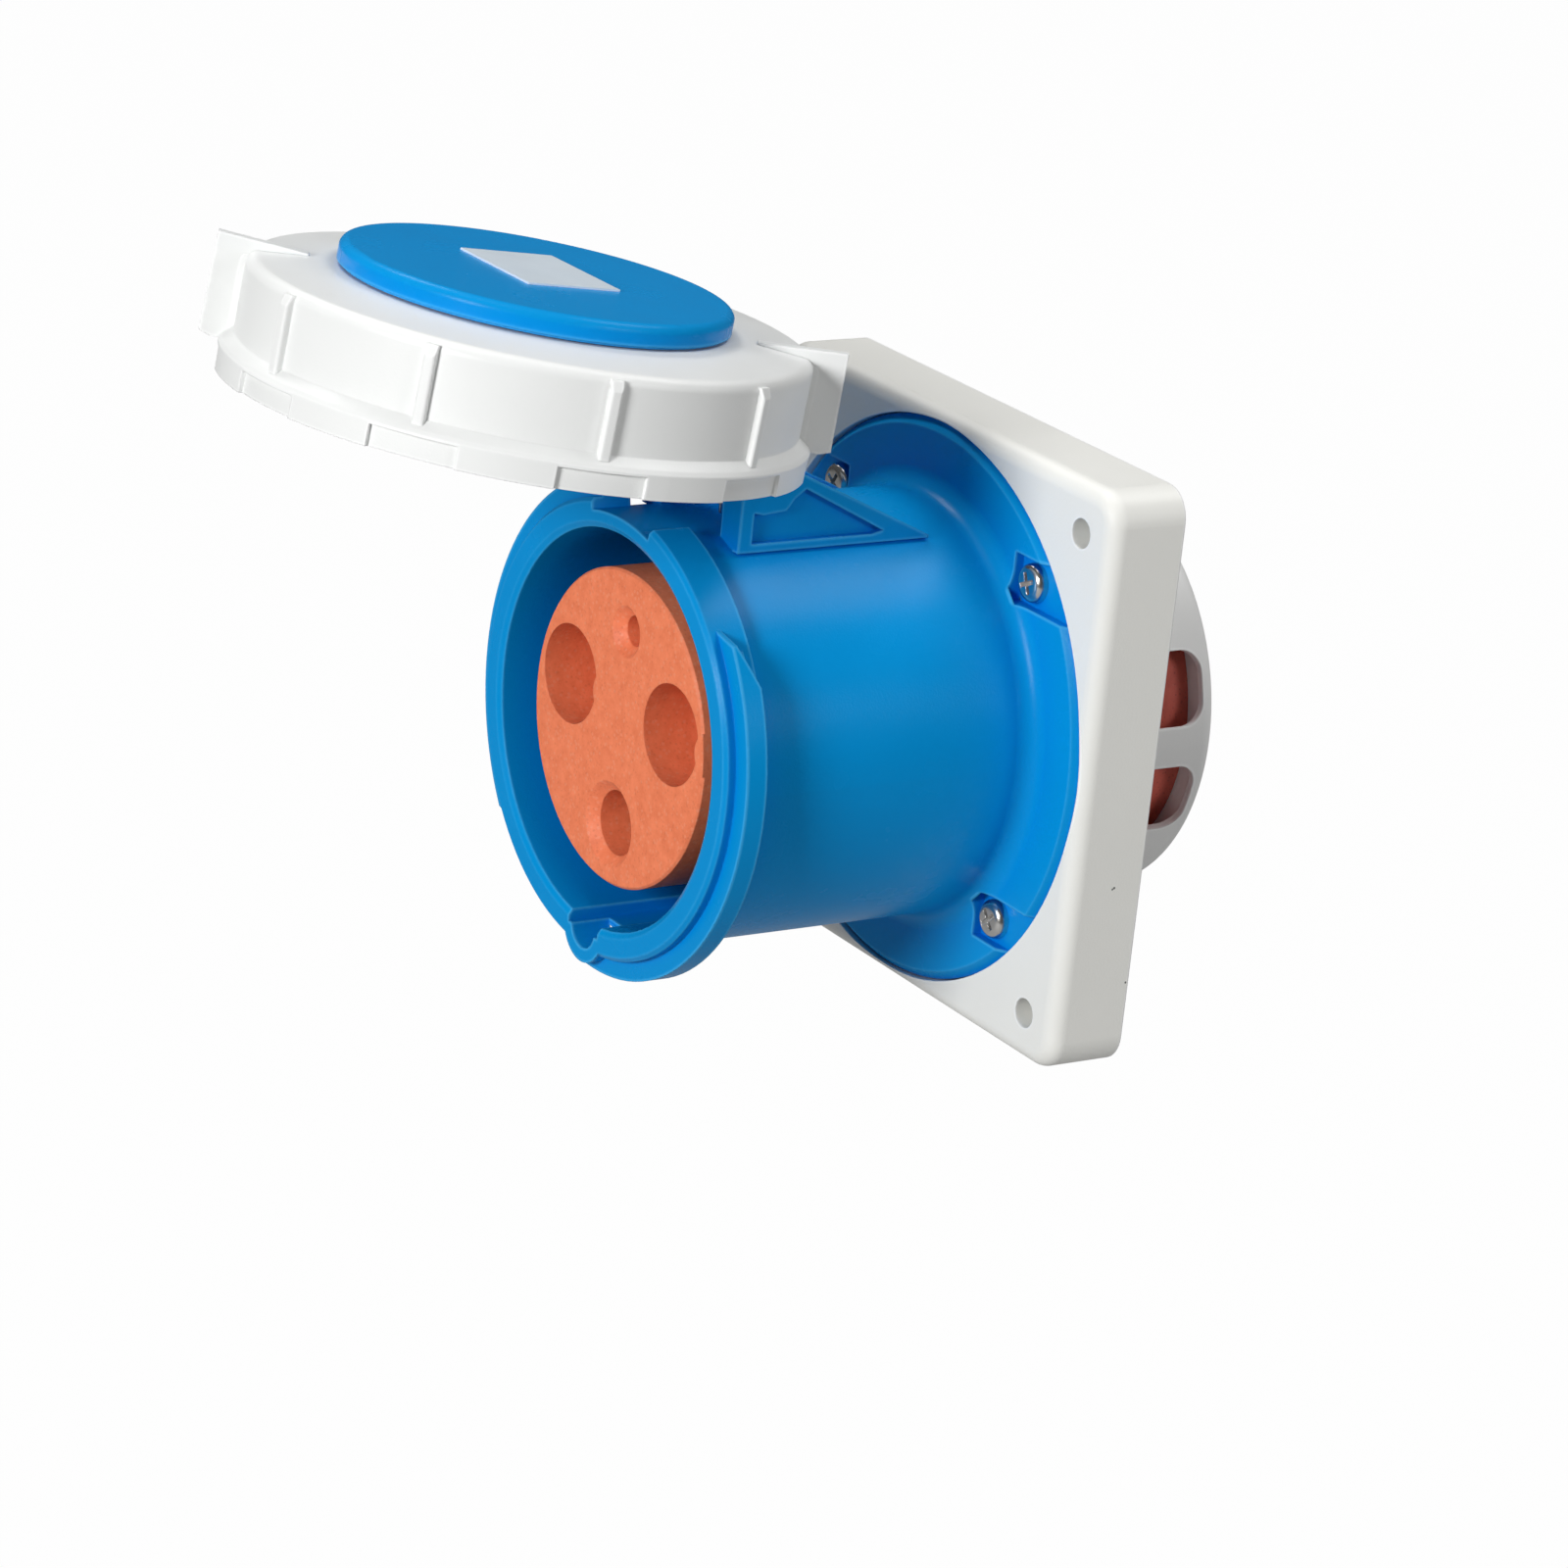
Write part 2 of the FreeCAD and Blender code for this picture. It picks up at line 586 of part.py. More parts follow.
# two webs carry the hinge pin; each has a raised rim round a triangular panel
webRoot = boreRadius + 0.4
webBack = hingeDepth - webTail
webOuter = webInner + webThickness
for side, start in (("Right", webInner), ("Left", -webOuter)):
    sketch = newSketch(housing, "YZ_Plane", "WebOutline" + side, offset=start)
    drawLoop(sketch, [(-webFront, webRoot), (-webFront, hingeHeight + hingeBoss * 0.26),
                      (-hingeDepth - hingeBoss * 0.7, hingeHeight + hingeBoss * 0.8),
                      (-hingeDepth - hingeBoss * 0.2, hingeHeight + hingeBoss),
                      (-hingeDepth + hingeBoss * 0.56, hingeHeight + hingeBoss * 0.96),
                      (-webBack, webRoot + 0.6), (-webBack, webRoot)])
    padded(housing, "Web" + side, sketch, webThickness)
    face = webOuter if side == "Right" else -webOuter
    sketch = newSketch(housing, "YZ_Plane", "WebPanelOutline" + side, offset=face)
    panelLow = webRoot + 1.7
    under = hingeBoss * 0.62
    drawLoop(sketch, [(-webFront + webBar, panelLow), (-webFront + webBar, hingeHeight - under * 0.86),
                      (-hingeDepth - hingeBoss * 0.4, hingeHeight - under),
                      (-hingeDepth + hingeBoss * 0.5, hingeHeight - under * 0.85),
                      (-hingeDepth + hingeBoss * 0.8, hingeHeight - under * 0.2),
                      (-hingeDepth + hingeBoss * 1.23, hingeHeight + under * 0.31),
                      (-webBack - 11.0, panelLow + 0.6), (-webBack - 13.5, panelLow)])
    pocketed(housing, "WebPanel" + side, sketch, webPanel, reverse=side == "Left")
    sketch = newSketch(housing, "YZ_Plane", "WebLipOutline" + side,
                       offset=webInner - webLip if side == "Right" else -webInner)
    drawBox(sketch, -webFront, webRoot, -webFront + webLipDepth, hingeHeight + hingeBoss * 0.2)
    padded(housing, "WebLip" + side, sketch, webLip)

# the pin goes in from the left; its hole in the right web is blind
sketch = newSketch(housing, "YZ_Plane", "PinOutline", offset=webOuter - pinSkin)
drawCircle(sketch, -hingeDepth, hingeHeight, pinRadius)
pocketed(housing, "PinHole", sketch, webOuter * 2)

# square pockets for the four screws, open to the flange's edge
sketch = newSketch(housing, "XZ_Plane", "PocketOutline", offset=flangeFront + 1.0)
pocketNear = screwPitch / 2 - screwPocket / 2
pocketFar = pocketNear + screwPocket
for sideways in (1, -1):
    for updown in (1, -1):
        drawBox(sketch, pocketNear * sideways, pocketNear * updown,
                (flangeRadius + 1) * sideways, pocketFar * updown)
pocketed(housing, "ScrewPockets", sketch, screwPocketDepth + 1.0)
sketch = newSketch(housing, "XZ_Plane", "FlangeHoles", offset=flangeFront)
for across, up in corners(screwPitch):
    drawCircle(sketch, across, up, housingShank + 0.4)
pocketed(housing, "FlangeScrewHoles", sketch, flangeThickness)
sketch = newSketch(housing, "XZ_Plane", "ShelfHoles", offset=shelfBack)
carrierScrewAngles = (90.0, 210.0, 330.0)
for angle in carrierScrewAngles:
    across, up = polar(1.0, angle)
    drawCircle(sketch, carrierScrewCircle * across, carrierScrewCircle * up, smallShank + holeClearance)
shelfThread = smallLength - carrierFlange
pocketed(housing, "ShelfScrewHoles", sketch, shelfThread + 0.4, reverse=True)


def screw(label, headRadius, headHeight, shankRadius, length, slot):
    """Pan-head screw with a cross recess; its head's seat is at depth 0."""
    body = newBody(label)
    turned(body, "ScrewForm", [(0, -length), (shankRadius - 0.4, -length), (shankRadius, -length + 0.6),
                               (shankRadius, 0), (headRadius, 0), (headRadius, headHeight * 0.45),
                               (headRadius * 0.82, headHeight * 0.85), (headRadius * 0.5, headHeight),
                               (0, headHeight)])
    sketch = newSketch(body, "XZ_Plane", "CrossOutline", offset=headHeight)
    reach = headRadius * 0.6
    drawLoop(sketch, [(-reach, -slot), (-slot, -slot), (-slot, -reach), (slot, -reach), (slot, -slot),
                      (reach, -slot), (reach, slot), (slot, slot), (slot, reach), (-slot, reach),
                      (-slot, slot), (-reach, slot)])
    pocketed(body, "CrossRecess", sketch, headHeight * 0.6)
    return body


headSeat = flangeFront - screwPocketDepth
screwNames = ("upper_right", "upper_left", "lower_left", "lower_right")
for name, (across, up) in zip(screwNames, corners(screwPitch)):
    body = screw("housing_screw_" + name, panHead, panHeight, housingShank, housingScrewLength, 0.45)
    place(body, across.value, headSeat.value, up.value)

# ---- contact carrier: the moulding that the plug's pins enter
contacts = {
    "line": (poleAngle.value, poleMouth, polePin, poleFront),
    "neutral": (180 - poleAngle.value, poleMouth, polePin, poleFront),
    "earth": (270.0, earthMouth, earthPin, earthFront),
    "pilot": (90.0, pilotPin + entryClearance, pilotPin, pilotFront),
}
carrierBack = shelfBack - carrierFlange
flangeOuter = chamberRadius - seatClearance
carrier = newBody("contact_carrier")
turned(carrier, "CarrierForm", [(0, carrierBack), (flangeOuter, carrierBack), (flangeOuter, shelfBack),
                                (carrierRadius, shelfBack), (carrierRadius, carrierDepth - 0.5),
                                (carrierRadius - 0.5, carrierDepth), (0, carrierDepth)])
sleeveOf = {}
for name, (angle, mouth, pinSize, start) in contacts.items():
    across, up = polar(1.0, angle)
    middle = (contactRadius * across, contactRadius * up)
    outer = pinSize + sleeveWall
    sleeveOf[name] = (angle, middle, pinSize, outer, start)
    sketch = newSketch(carrier, "XZ_Plane", name + "Entry", offset=carrierDepth)
    drawCircle(sketch, middle[0], middle[1], mouth)
    entry = poleMouthDepth if mouth is poleMouth else carrierDepth - start
    pocketed(carrier, name + "Mouth", sketch, entry)
    sketch = newSketch(carrier, "XZ_Plane", name + "Pin", offset=carrierDepth)
    drawCircle(sketch, middle[0], middle[1], pinSize + entryClearance)
    pocketed(carrier, name + "PinHole", sketch, carrierDepth - start + 1)
    sketch = newSketch(carrier, "XZ_Plane", name + "Sleeve", offset=carrierBack)
    drawCircle(sketch, middle[0], middle[1], outer + sleeveClearance)
    pocketed(carrier, name + "SleeveBore", sketch, start - carrierBack, reverse=True)
    if mouth is poleMouth:
        sketch = newSketch(carrier, "XZ_Plane", name + "Key", offset=carrierDepth - poleMouthDepth)
        drawCircle(sketch, middle[0] + poleMouth + 3.4, middle[1], 4.5)
        padded(carrier, name + "KeyRib", sketch, poleMouthDepth)
turned(carrier, "CarrierTrim", [(carrierRadius, shelfBack), (carrierRadius + 12, shelfBack),
                                (carrierRadius + 12, carrierDepth + 1), (carrierRadius, carrierDepth + 1)],
       cut=True)
for name, sink in (("earth", earthSink), ("pilot", pilotSink)):
    bevelled(carrier, name + "Countersink", sink, circleAt(carrierDepth.value, contacts[name][1].value))
sketch = newSketch(carrier, "XZ_Plane", "CarrierHoles", offset=shelfBack)
for angle in carrierScrewAngles:
    across, up = polar(1.0, angle)
    drawCircle(sketch, carrierScrewCircle * across, carrierScrewCircle * up, smallShank + holeClearance)
pocketed(carrier, "CarrierScrewHoles", sketch, carrierFlange)

# ---- rear carrier: holds the contacts' terminal barrels behind the plate
rearFlangeBack = carrierBack - carrierFlange
rear = newBody("rear_carrier")
turned(rear, "RearForm", [(0, carrierBack), (flangeOuter, carrierBack), (flangeOuter, rearFlangeBack),
                          (rearRadius, rearFlangeBack), (rearRadius, -rearEnd), (0, -rearEnd)])
for name, (angle, middle, pinSize, outer, start) in sleeveOf.items():
    chamber = barrelRadius if name != "pilot" else outer + 1.6
    sketch = newSketch(rear, "XZ_Plane", name + "Chamber", offset=carrierBack)
    drawCircle(sketch, middle[0], middle[1], chamber + sleeveClearance)
    pocketed(rear, name + "Bore", sketch, carrierBack + rearEnd)
    sketch = newSketch(rear, "XY_Plane", name + "Access")
    turnBy = FreeCAD.Rotation(FreeCAD.Vector(0, 1, 0), 90 - angle)
    sketch.AttachmentOffset = FreeCAD.Placement(turnBy.multVec(FreeCAD.Vector(0, 0, 60)), turnBy)
    drawCircle(sketch, 0, terminalPlace, terminalRadius + 0.9)
    pocketed(rear, name + "AccessHole", sketch, asSize(60.0) - contactRadius)
sketch = newSketch(rear, "XZ_Plane", "RearHoles", offset=carrierBack)
for angle in carrierScrewAngles:
    across, up = polar(1.0, angle)
    drawCircle(sketch, carrierScrewCircle * across, carrierScrewCircle * up, smallShank + holeClearance)
pocketed(rear, "RearScrewHoles", sketch, carrierFlange)
cageScrewAngles = (50.0, 230.0)
sketch = newSketch(rear, "XZ_Plane", "RearEndHoles", offset=-rearEnd)
for angle in cageScrewAngles:
    across, up = polar(1.0, angle)
    drawCircle(sketch, cageScrewCircle * across, cageScrewCircle * up, smallShank + holeClearance)
pocketed(rear, "CageScrewHoles", sketch, smallLength, reverse=True)

# three screws clamp both carriers to the shelf
for number, angle in enumerate(carrierScrewAngles):
    body = screw("carrier_screw_%d" % (number + 1), smallHead, smallHeight, smallShank,
                 carrierFlange + smallLength, 0.3)
    across, up = polar(carrierScrewCircle.value, angle)
    place(body, across, rearFlangeBack.value, up, (1, 0, 0), 180)

# ---- contacts: slotted sleeve in front, drilled terminal barrel behind
for name, (angle, middle, pinSize, outer, start) in sleeveOf.items():
    barrel = barrelRadius if name != "pilot" else outer + 1.6
    body = newBody(name + "_contact")
    front = start - 0.4
    wireHole = pinSize * 0.8
    thread = terminalRadius if name != "pilot" else terminalRadius * 0.6
    turned(body, "ContactForm", [
        (0, carrierBack + 4), (pinSize + 0.03, carrierBack + 6), (pinSize + 0.03, front - 0.6),
        (pinSize + 0.6, front), (outer, front), (outer, carrierBack), (barrel, carrierBack),
        (barrel, -barrelEnd), (wireHole, -barrelEnd), (wireHole, 0), (0, 0)])
    sketch = newSketch(body, "XZ_Plane", "SlotOutline", offset=front)
    gap = 0.5
    drawLoop(sketch, [(-outer - 1, -gap), (-gap, -gap), (-gap, -outer - 1), (gap, -outer - 1), (gap, -gap),
                      (outer + 1, -gap), (outer + 1, gap), (gap, gap), (gap, outer + 1),
                      (-gap, outer + 1), (-gap, gap), (-outer - 1, gap)])
    pocketed(body, "SpringSlots", sketch, 24.0)
    turnBy = FreeCAD.Rotation(FreeCAD.Vector(0, 1, 0), 90 - angle)
    sketch = newSketch(body, "XY_Plane", "ThreadOutline")
    sketch.AttachmentOffset = FreeCAD.Placement(turnBy.multVec(FreeCAD.Vector(0, 0, 20)), turnBy)
    drawCircle(sketch, 0, terminalPlace, thread)
    pocketed(body, "TerminalThread", sketch, 20.0)
    place(body, middle[0].value, 0, middle[1].value)
    grub = newBody("terminal_screw_" + name)
    grubLength = barrel - wireHole - 0.3
    sketch = newSketch(grub, "XY_Plane", "GrubOutline")
    drawCircle(sketch, 0, 0, thread - holeClearance)
    padded(grub, "GrubForm", sketch, grubLength)
    sketch = newSketch(grub, "XY_Plane", "HexOutline", offset=grubLength)
    hexagon = [polar(0.55, 60 * n) for n in range(6)]
    drawLoop(sketch, [(thread * across, thread * up) for across, up in hexagon])
    pocketed(grub, "HexSocket", sketch, grubLength * 0.6)
    seat = polar(contactRadius.value + barrel.value - grubLength.value - 0.3, angle)
    grub.Placement = FreeCAD.Placement(FreeCAD.Vector(seat[0], terminalPlace.value, seat[1]), turnBy)

# ---- cage: drum behind the plate with two windows on each side
cage = newBody("rear_cage")
cageEnd = rearEnd + cageBack
cageRadius = chamberRadius - cageClearance
cageInner = cageRadius - cageWall
cageOpening = cageScrewCircle - cageRim
cageFront = rearFlangeBack - smallHeight - 1.4
turned(cage, "CageShell", [
    (cageRadius, cageFront), (cageRadius, -cageEnd), (cageOpening, -cageEnd),
    (cageOpening, -rearEnd), (cageInner, -rearEnd), (cageInner, cageFront)])
rounded(cage, "CageBackEdge", cageRound, circleAt(-cageEnd.value, cageRadius.value))
windowHigh = rearEnd - windowMargin
for number, angle in enumerate((windowAngle.value, -windowAngle.value,
                                180 - windowAngle.value, 180 + windowAngle.value)):
    turnBy = FreeCAD.Rotation(FreeCAD.Vector(0, 1, 0), 90 - angle)
    sketch = newSketch(cage, "XY_Plane", "WindowOutline%d" % number)
    sketch.AttachmentOffset = FreeCAD.Placement(turnBy.multVec(FreeCAD.Vector(0, 0, 60)), turnBy)
    drawBox(sketch, -windowWidth / 2, windowStart, windowWidth / 2, windowHigh)
    pocketed(cage, "Window%d" % number, sketch, 30.0)


def windowCorner(edge):
    if hasattr(edge.Curve, "Radius"):
        return False
    box = edge.BoundBox
    return abs(box.YMin - windowHigh.value) < 0.01 and abs(box.YMax - windowHigh.value) < 0.01


rounded(cage, "WindowCorners", windowRound, windowCorner)
sketch = newSketch(cage, "XZ_Plane", "CageHoles", offset=-cageEnd)
for angle in cageScrewAngles:
    across, up = polar(1.0, angle)
    drawCircle(sketch, cageScrewCircle * across, cageScrewCircle * up, smallShank + holeClearance)
pocketed(cage, "CageScrewHoles", sketch, cageBack, reverse=True)
for number, angle in enumerate(cageScrewAngles):
    body = screw("cage_screw_%d" % (number + 1), smallHead, smallHeight, smallShank,
                 cageBack + smallLength - 0.6, 0.3)
    across, up = polar(cageScrewCircle.value, angle)
    place(body, across, -cageEnd.value, up, (1, 0, 0), 180)

# ---- lid disc: the blue disc in front of the locking ring, with the hub that the ring turns on
disc = newBody("lid_disc")
discTop = lidFace + discThickness
turned(disc, "DiscForm", [(0, capFront), (hubRadius, capFront), (hubRadius, lidFace),
                          (discRadius - 0.7, lidFace), (discRadius - 0.7, lidFace + 0.5),
                          (discRadius, lidFace + 0.5), (discRadius, discTop), (0, discTop)])
rounded(disc, "DiscEdge", discRound, circleAt(discTop.value, discRadius.value))
sketch = newSketch(disc, "XZ_Plane", "DiscHoles", offset=capFront)
lidScrewAngles = (90.0, 210.0, 330.0)
lidScrewCircle = hubRadius - lidScrewInset
lidScrewDepth = smallLength - capThickness
for angle in lidScrewAngles:
    across, up = polar(1.0, angle)
    drawCircle(sketch, lidScrewCircle * across, lidScrewCircle * up, smallShank + holeClearance)
pocketed(disc, "DiscScrewHoles", sketch, lidScrewDepth + 0.4, reverse=True)
openLid(disc)

# ---- label plate, blank
labelPlate = newBody("label_plate")
sketch = newSketch(labelPlate, "XZ_Plane", "LabelOutline", offset=discTop)
labelRight = labelWidth / 2 - 1.9
labelLow = -labelHeight / 2 + 1.3
drawBox(sketch, labelRight - labelWidth, labelLow, labelRight, labelLow + labelHeight)
padded(labelPlate, "LabelSheet", sketch, labelThickness)
openLid(labelPlate)

# ---- locking ring: grips the ramps from behind with two lugs
ring = newBody("locking_ring")
cavityTop = ringSeat - ringTop
shoulder = ringBack + skirtLength
turned(ring, "RingShell", [
    (hubRadius + ringGap, ringSeat), (discRadius + 0.5, ringSeat), (ringOuter, ringSeat - 1.3),
    (ringOuter, shoulder + 1.6), (skirtRadius - 0.6, shoulder), (skirtRadius, shoulder - 0.8),
    (skirtRadius, ringBack), (ringInner, ringBack), (ringInner, cavityTop - 1.2),
    (ringInner - 1.2, cavityTop), (hubRadius + ringGap, cavityTop)])
rounded(ring, "RingTopEdge", ringRound, circleAt((ringSeat - 1.3).value, ringOuter.value))
sketch = newSketch(ring, "XY_Plane", "RibOutline", turn=ribAngle.value, away=-ribWidth.value / 2)
drawLoop(sketch, [(ringOuter - 0.6, -(ringSeat - 2.2)), (ringOuter + ribHeight * 0.4, -(ringSeat - 2.2)),
                  (ringOuter + ribHeight, -(ringSeat - 4.2)), (ringOuter + ribHeight, -(shoulder + 0.6)),
                  (ringOuter - 0.6, -(shoulder + 0.6))])
rib = padded(ring, "GripRib", sketch, ribWidth)
repeated(ring, "GripRibs", [rib], ribCount)
ribCorner = math.hypot((ringOuter + ribHeight).value, ribWidth.value / 2)


def ribEdge(edge):
    if hasattr(edge.Curve, "Radius") or edge.BoundBox.YLength < 4:
        return False
    return all(abs(math.hypot(end.X, end.Z) - ribCorner) < 0.02 for end in edge.Vertexes)


rounded(ring, "RibEdges", ribRound, ribEdge)
recessHigh = ringBack + skirtLength * 0.76
recess = turned(ring, "SkirtRecess", [(skirtRadius - recessSink, ringBack - 1), (skirtRadius + 1, ringBack - 1),
                                      (skirtRadius + 1, recessHigh), (skirtRadius - recessSink, recessHigh)],
                span=recessSpan, at=ribAngle.value, cut=True)
repeated(ring, "SkirtRecesses", [recess], ribCount)
sketch = newSketch(ring, "XY_Plane", "WingOutline", turn=ribAngle.value, away=-wingThickness.value / 2)
wingReach = ringOuter + wingProud
drawLoop(sketch, [(discRadius + 4.8, -(ringSeat - 1.0)), (discRadius + 5.2, -(ringSeat + 0.1)),
                  (wingReach - 0.4, -(ringSeat + 1.2)), (wingReach, -(shoulder - 0.4)),
                  (wingReach - 2.2, -(shoulder - 1.2)), (ringOuter - 0.5, -(shoulder - 1.2)),
                  (ringOuter - 0.5, -(ringSeat - 3.4))])
wing = padded(ring, "Wing", sketch, wingThickness)
repeated(ring, "Wings", [wing], 2)
lugFront = rampBack - lugClearance
lugInner = ringInner - lugReach
lug = turned(ring, "Lug", [(lugInner, lugFront - lugThickness), (ringInner + 0.6, lugFront - lugThickness),
                           (ringInner + 0.6, lugFront), (lugInner, lugFront)], span=lugSpan, at=ribAngle.value)
repeated(ring, "Lugs", [lug], 2)
openLid(ring)

# ---- lid cap: closes the tube's mouth, holds the seal and carries the hinge arm
cap = newBody("lid_cap")
capRadius = ringInner - capClearance
sealOuter = collarRadius + lidSealOverlap
sealInner = boreRadius - lidSealOverlap
turned(cap, "CapForm", [(0, capBack), (sealOuter + 0.2, capBack), (sealOuter + 0.2, sealBack + 0.8),
                        (sealOuter + 1.4, sealBack + 0.8), (sealOuter + 1.4, capBack), (capRadius, capBack),
                        (capRadius, capFront), (0, capFront)])
sketch = newSketch(cap, "YZ_Plane", "ArmOutline", offset=-armHalfWidth)
armLow = armTop - armThickness
drawLoop(sketch, [(-capFront, armLow - 1.8), (-capFront, armTop), (-hingeDepth, armTop),
                  (-hingeDepth, hingeHeight - knuckleRadius + 0.2), (-hingeDepth - 4.4, armLow),
                  (-capBack, armLow), (-capBack, armLow - 1.8)])
padded(cap, "Arm", sketch, armHalfWidth * 2)
sketch = newSketch(cap, "YZ_Plane", "KnuckleOutline", offset=-(webInner - sideClearance))
drawCircle(sketch, -hingeDepth, hingeHeight, knuckleRadius)
padded(cap, "Knuckle", sketch, (webInner - sideClearance) * 2)
sketch = newSketch(cap, "YZ_Plane", "KnuckleBoreOutline", offset=webInner)
drawCircle(sketch, -hingeDepth, hingeHeight, pinRadius + pinClearance)
pocketed(cap, "KnuckleBore", sketch, webInner * 2)
sketch = newSketch(cap, "YZ_Plane", "SpringSlotOutline", offset=springSlot)
drawBox(sketch, -hingeDepth - knuckleRadius - 0.8, armLow - 3, -hingeDepth + knuckleRadius + 1,
        hingeHeight + knuckleRadius + 1)
pocketed(cap, "SpringSlot", sketch, springSlot * 2)
sketch = newSketch(cap, "XZ_Plane", "CapHoles", offset=capFront)
for angle in lidScrewAngles:
    across, up = polar(1.0, angle)
    drawCircle(sketch, lidScrewCircle * across, lidScrewCircle * up, smallShank + holeClearance)
pocketed(cap, "CapScrewHoles", sketch, capThickness)
openLid(cap)
for number, angle in enumerate(lidScrewAngles):
    body = screw("lid_screw_%d" % (number + 1), smallHead, smallHeight, smallShank, smallLength, 0.3)
    across, up = polar(lidScrewCircle.value, angle)
    place(body, across, capBack.value, up, (1, 0, 0), 180)
    openLid(body)

# ---- lid seal: flat ring that meets the tube's rim
lidSeal = newBody("lid_seal")
turned(lidSeal, "LidSealRing", [(sealInner, sealBack), (sealOuter, sealBack), (sealOuter, capBack),
                                (sealInner, capBack)])
openLid(lidSeal)

# ---- hinge pin, held in the webs
hingePin = newBody("hinge_pin")
sketch = newSketch(hingePin, "YZ_Plane", "PinSection", offset=-webOuter)
drawCircle(sketch, -hingeDepth, hingeHeight, pinRadius)
padded(hingePin, "PinRod", sketch, webOuter * 2 - pinSkin - sideClearance)

# ---- hinge spring: coils round the pin; the leg below rests on the tube, the one above on the arm
spring = doc.addObject("Part::Feature", "hinge_spring")
spring.Label = "hinge_spring"
subParts.append(spring)
wireRadius = sheet.get("springWire")
coilRadius = sheet.get("pinRadius") + sheet.get("springFit") + wireRadius
coilLength = sheet.get("springPitch") * (sheet.get("springTurns") + sheet.get("springLegAngle") / 360)
helix = Part.makeHelix(sheet.get("springPitch"), coilLength, coilRadius).Edges[0]
lowTangent = helix.tangentAt(helix.FirstParameter)
highTangent = helix.tangentAt(helix.LastParameter)
lowStart = helix.valueAt(helix.FirstParameter)
highStart = helix.valueAt(helix.LastParameter)
lowEnd = lowStart - lowTangent * (hingeHeight - tubeRadius - wireRadius).value
highEnd = highStart + highTangent * sheet.get("springLeg")
path = Part.Wire([Part.makeLine(lowEnd, lowStart), helix, Part.makeLine(highStart, highEnd)])
across = FreeCAD.Vector(1, 0, 0)
upward = lowTangent.cross(across)
ring = [across * polar(wireRadius, 45 * n)[0] + upward * polar(wireRadius, 45 * n)[1] for n in range(9)]
section = Part.makePolygon([lowEnd + corner for corner in ring])
spring.Shape = path.makePipeShell([section], True, True)
quarter = FreeCAD.Rotation(FreeCAD.Vector(0, 1, 0), -90)
start = FreeCAD.Rotation(FreeCAD.Vector(0, 0, 1), -90)
spring.Placement = FreeCAD.Placement(
    FreeCAD.Vector(coilLength / 2, -hingeDepth.value, hingeHeight.value), quarter.multiply(start))

doc.recompute()
for item in doc.Objects:
    if "Invalid" in item.State or "Error" in item.State:
        raise RuntimeError(item.Label + " failed")
os.makedirs("parts", exist_ok=True)
for item in subParts:
    if item.Shape.isNull() or not item.Shape.isValid():
        raise RuntimeError(item.Label + " has no sound shape")
for item in subParts:
    item.Shape.exportStep("parts/" + item.Label + ".step")
    print(item.Label, len(item.Shape.Solids), round(item.Shape.Volume, 1))
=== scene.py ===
import math

import bpy
from mathutils import Matrix, Vector


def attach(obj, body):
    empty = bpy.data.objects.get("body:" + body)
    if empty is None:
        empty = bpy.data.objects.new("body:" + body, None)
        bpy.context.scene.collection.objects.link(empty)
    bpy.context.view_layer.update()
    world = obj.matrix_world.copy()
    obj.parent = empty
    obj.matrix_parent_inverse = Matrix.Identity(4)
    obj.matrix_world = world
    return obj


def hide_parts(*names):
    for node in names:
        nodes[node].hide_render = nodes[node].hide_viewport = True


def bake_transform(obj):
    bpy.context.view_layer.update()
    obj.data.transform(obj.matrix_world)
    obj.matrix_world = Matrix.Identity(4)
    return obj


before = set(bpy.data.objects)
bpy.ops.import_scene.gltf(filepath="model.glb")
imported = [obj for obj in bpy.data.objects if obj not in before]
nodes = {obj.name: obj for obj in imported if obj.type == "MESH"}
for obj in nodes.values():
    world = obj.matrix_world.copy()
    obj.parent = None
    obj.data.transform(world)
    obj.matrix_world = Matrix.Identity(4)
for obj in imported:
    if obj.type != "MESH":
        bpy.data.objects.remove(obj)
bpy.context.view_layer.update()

# a panel socket with its lid open; metres, wall face at y = 0, mouth towards -Y, up is +Z
print("stage: frame loaded,", len(nodes), "nodes")


# where the photograph was taken from, found from the plate, the tube and the lid
view = {
    "place": (0.8855, -0.6485, 0.3510),
    "right": (0.53175, 0.84131, 0.09714),
    "forward": (-0.78236, 0.53190, -0.32403),
    "lens": 128.91,
    "sensor": 36.0,
    "nearest": 0.01,
    "farthest": 50.0,
}


def addCamera(settings):
    data = bpy.data.cameras.new("camera")
    data.lens = settings["lens"]
    data.sensor_width = settings["sensor"]
    data.sensor_fit = "HORIZONTAL"
    data.clip_start = settings["nearest"]
    data.clip_end = settings["farthest"]
    camera = bpy.data.objects.new("camera", data)
    bpy.context.scene.collection.objects.link(camera)
    forward = Vector(settings["forward"]).normalized()
    right = Vector(settings["right"])
    right = (right - right.dot(forward) * forward).normalized()
    upward = right.cross(forward)
    turn = Matrix((right, upward, -forward)).transposed()
    camera.matrix_world = Matrix.Translation(settings["place"]) @ turn.to_4x4()
    bpy.context.scene.camera = camera


addCamera(view)
bpy.context.scene.view_settings.view_transform = "Standard"
print("stage: camera set")


class Signal:
    # a node's output that can be used in ordinary sums
    def __init__(self, graph, socket):
        self.graph = graph
        self.socket = socket

    def sum(self, operation, other):
        return self.graph.node("ShaderNodeMath", {"operation": operation}, {0: self, 1: other})

    def __add__(self, other):
        return self.sum("ADD", other)

    __radd__ = __add__

    def __mul__(self, other):
        return self.sum("MULTIPLY", other)

    __rmul__ = __mul__


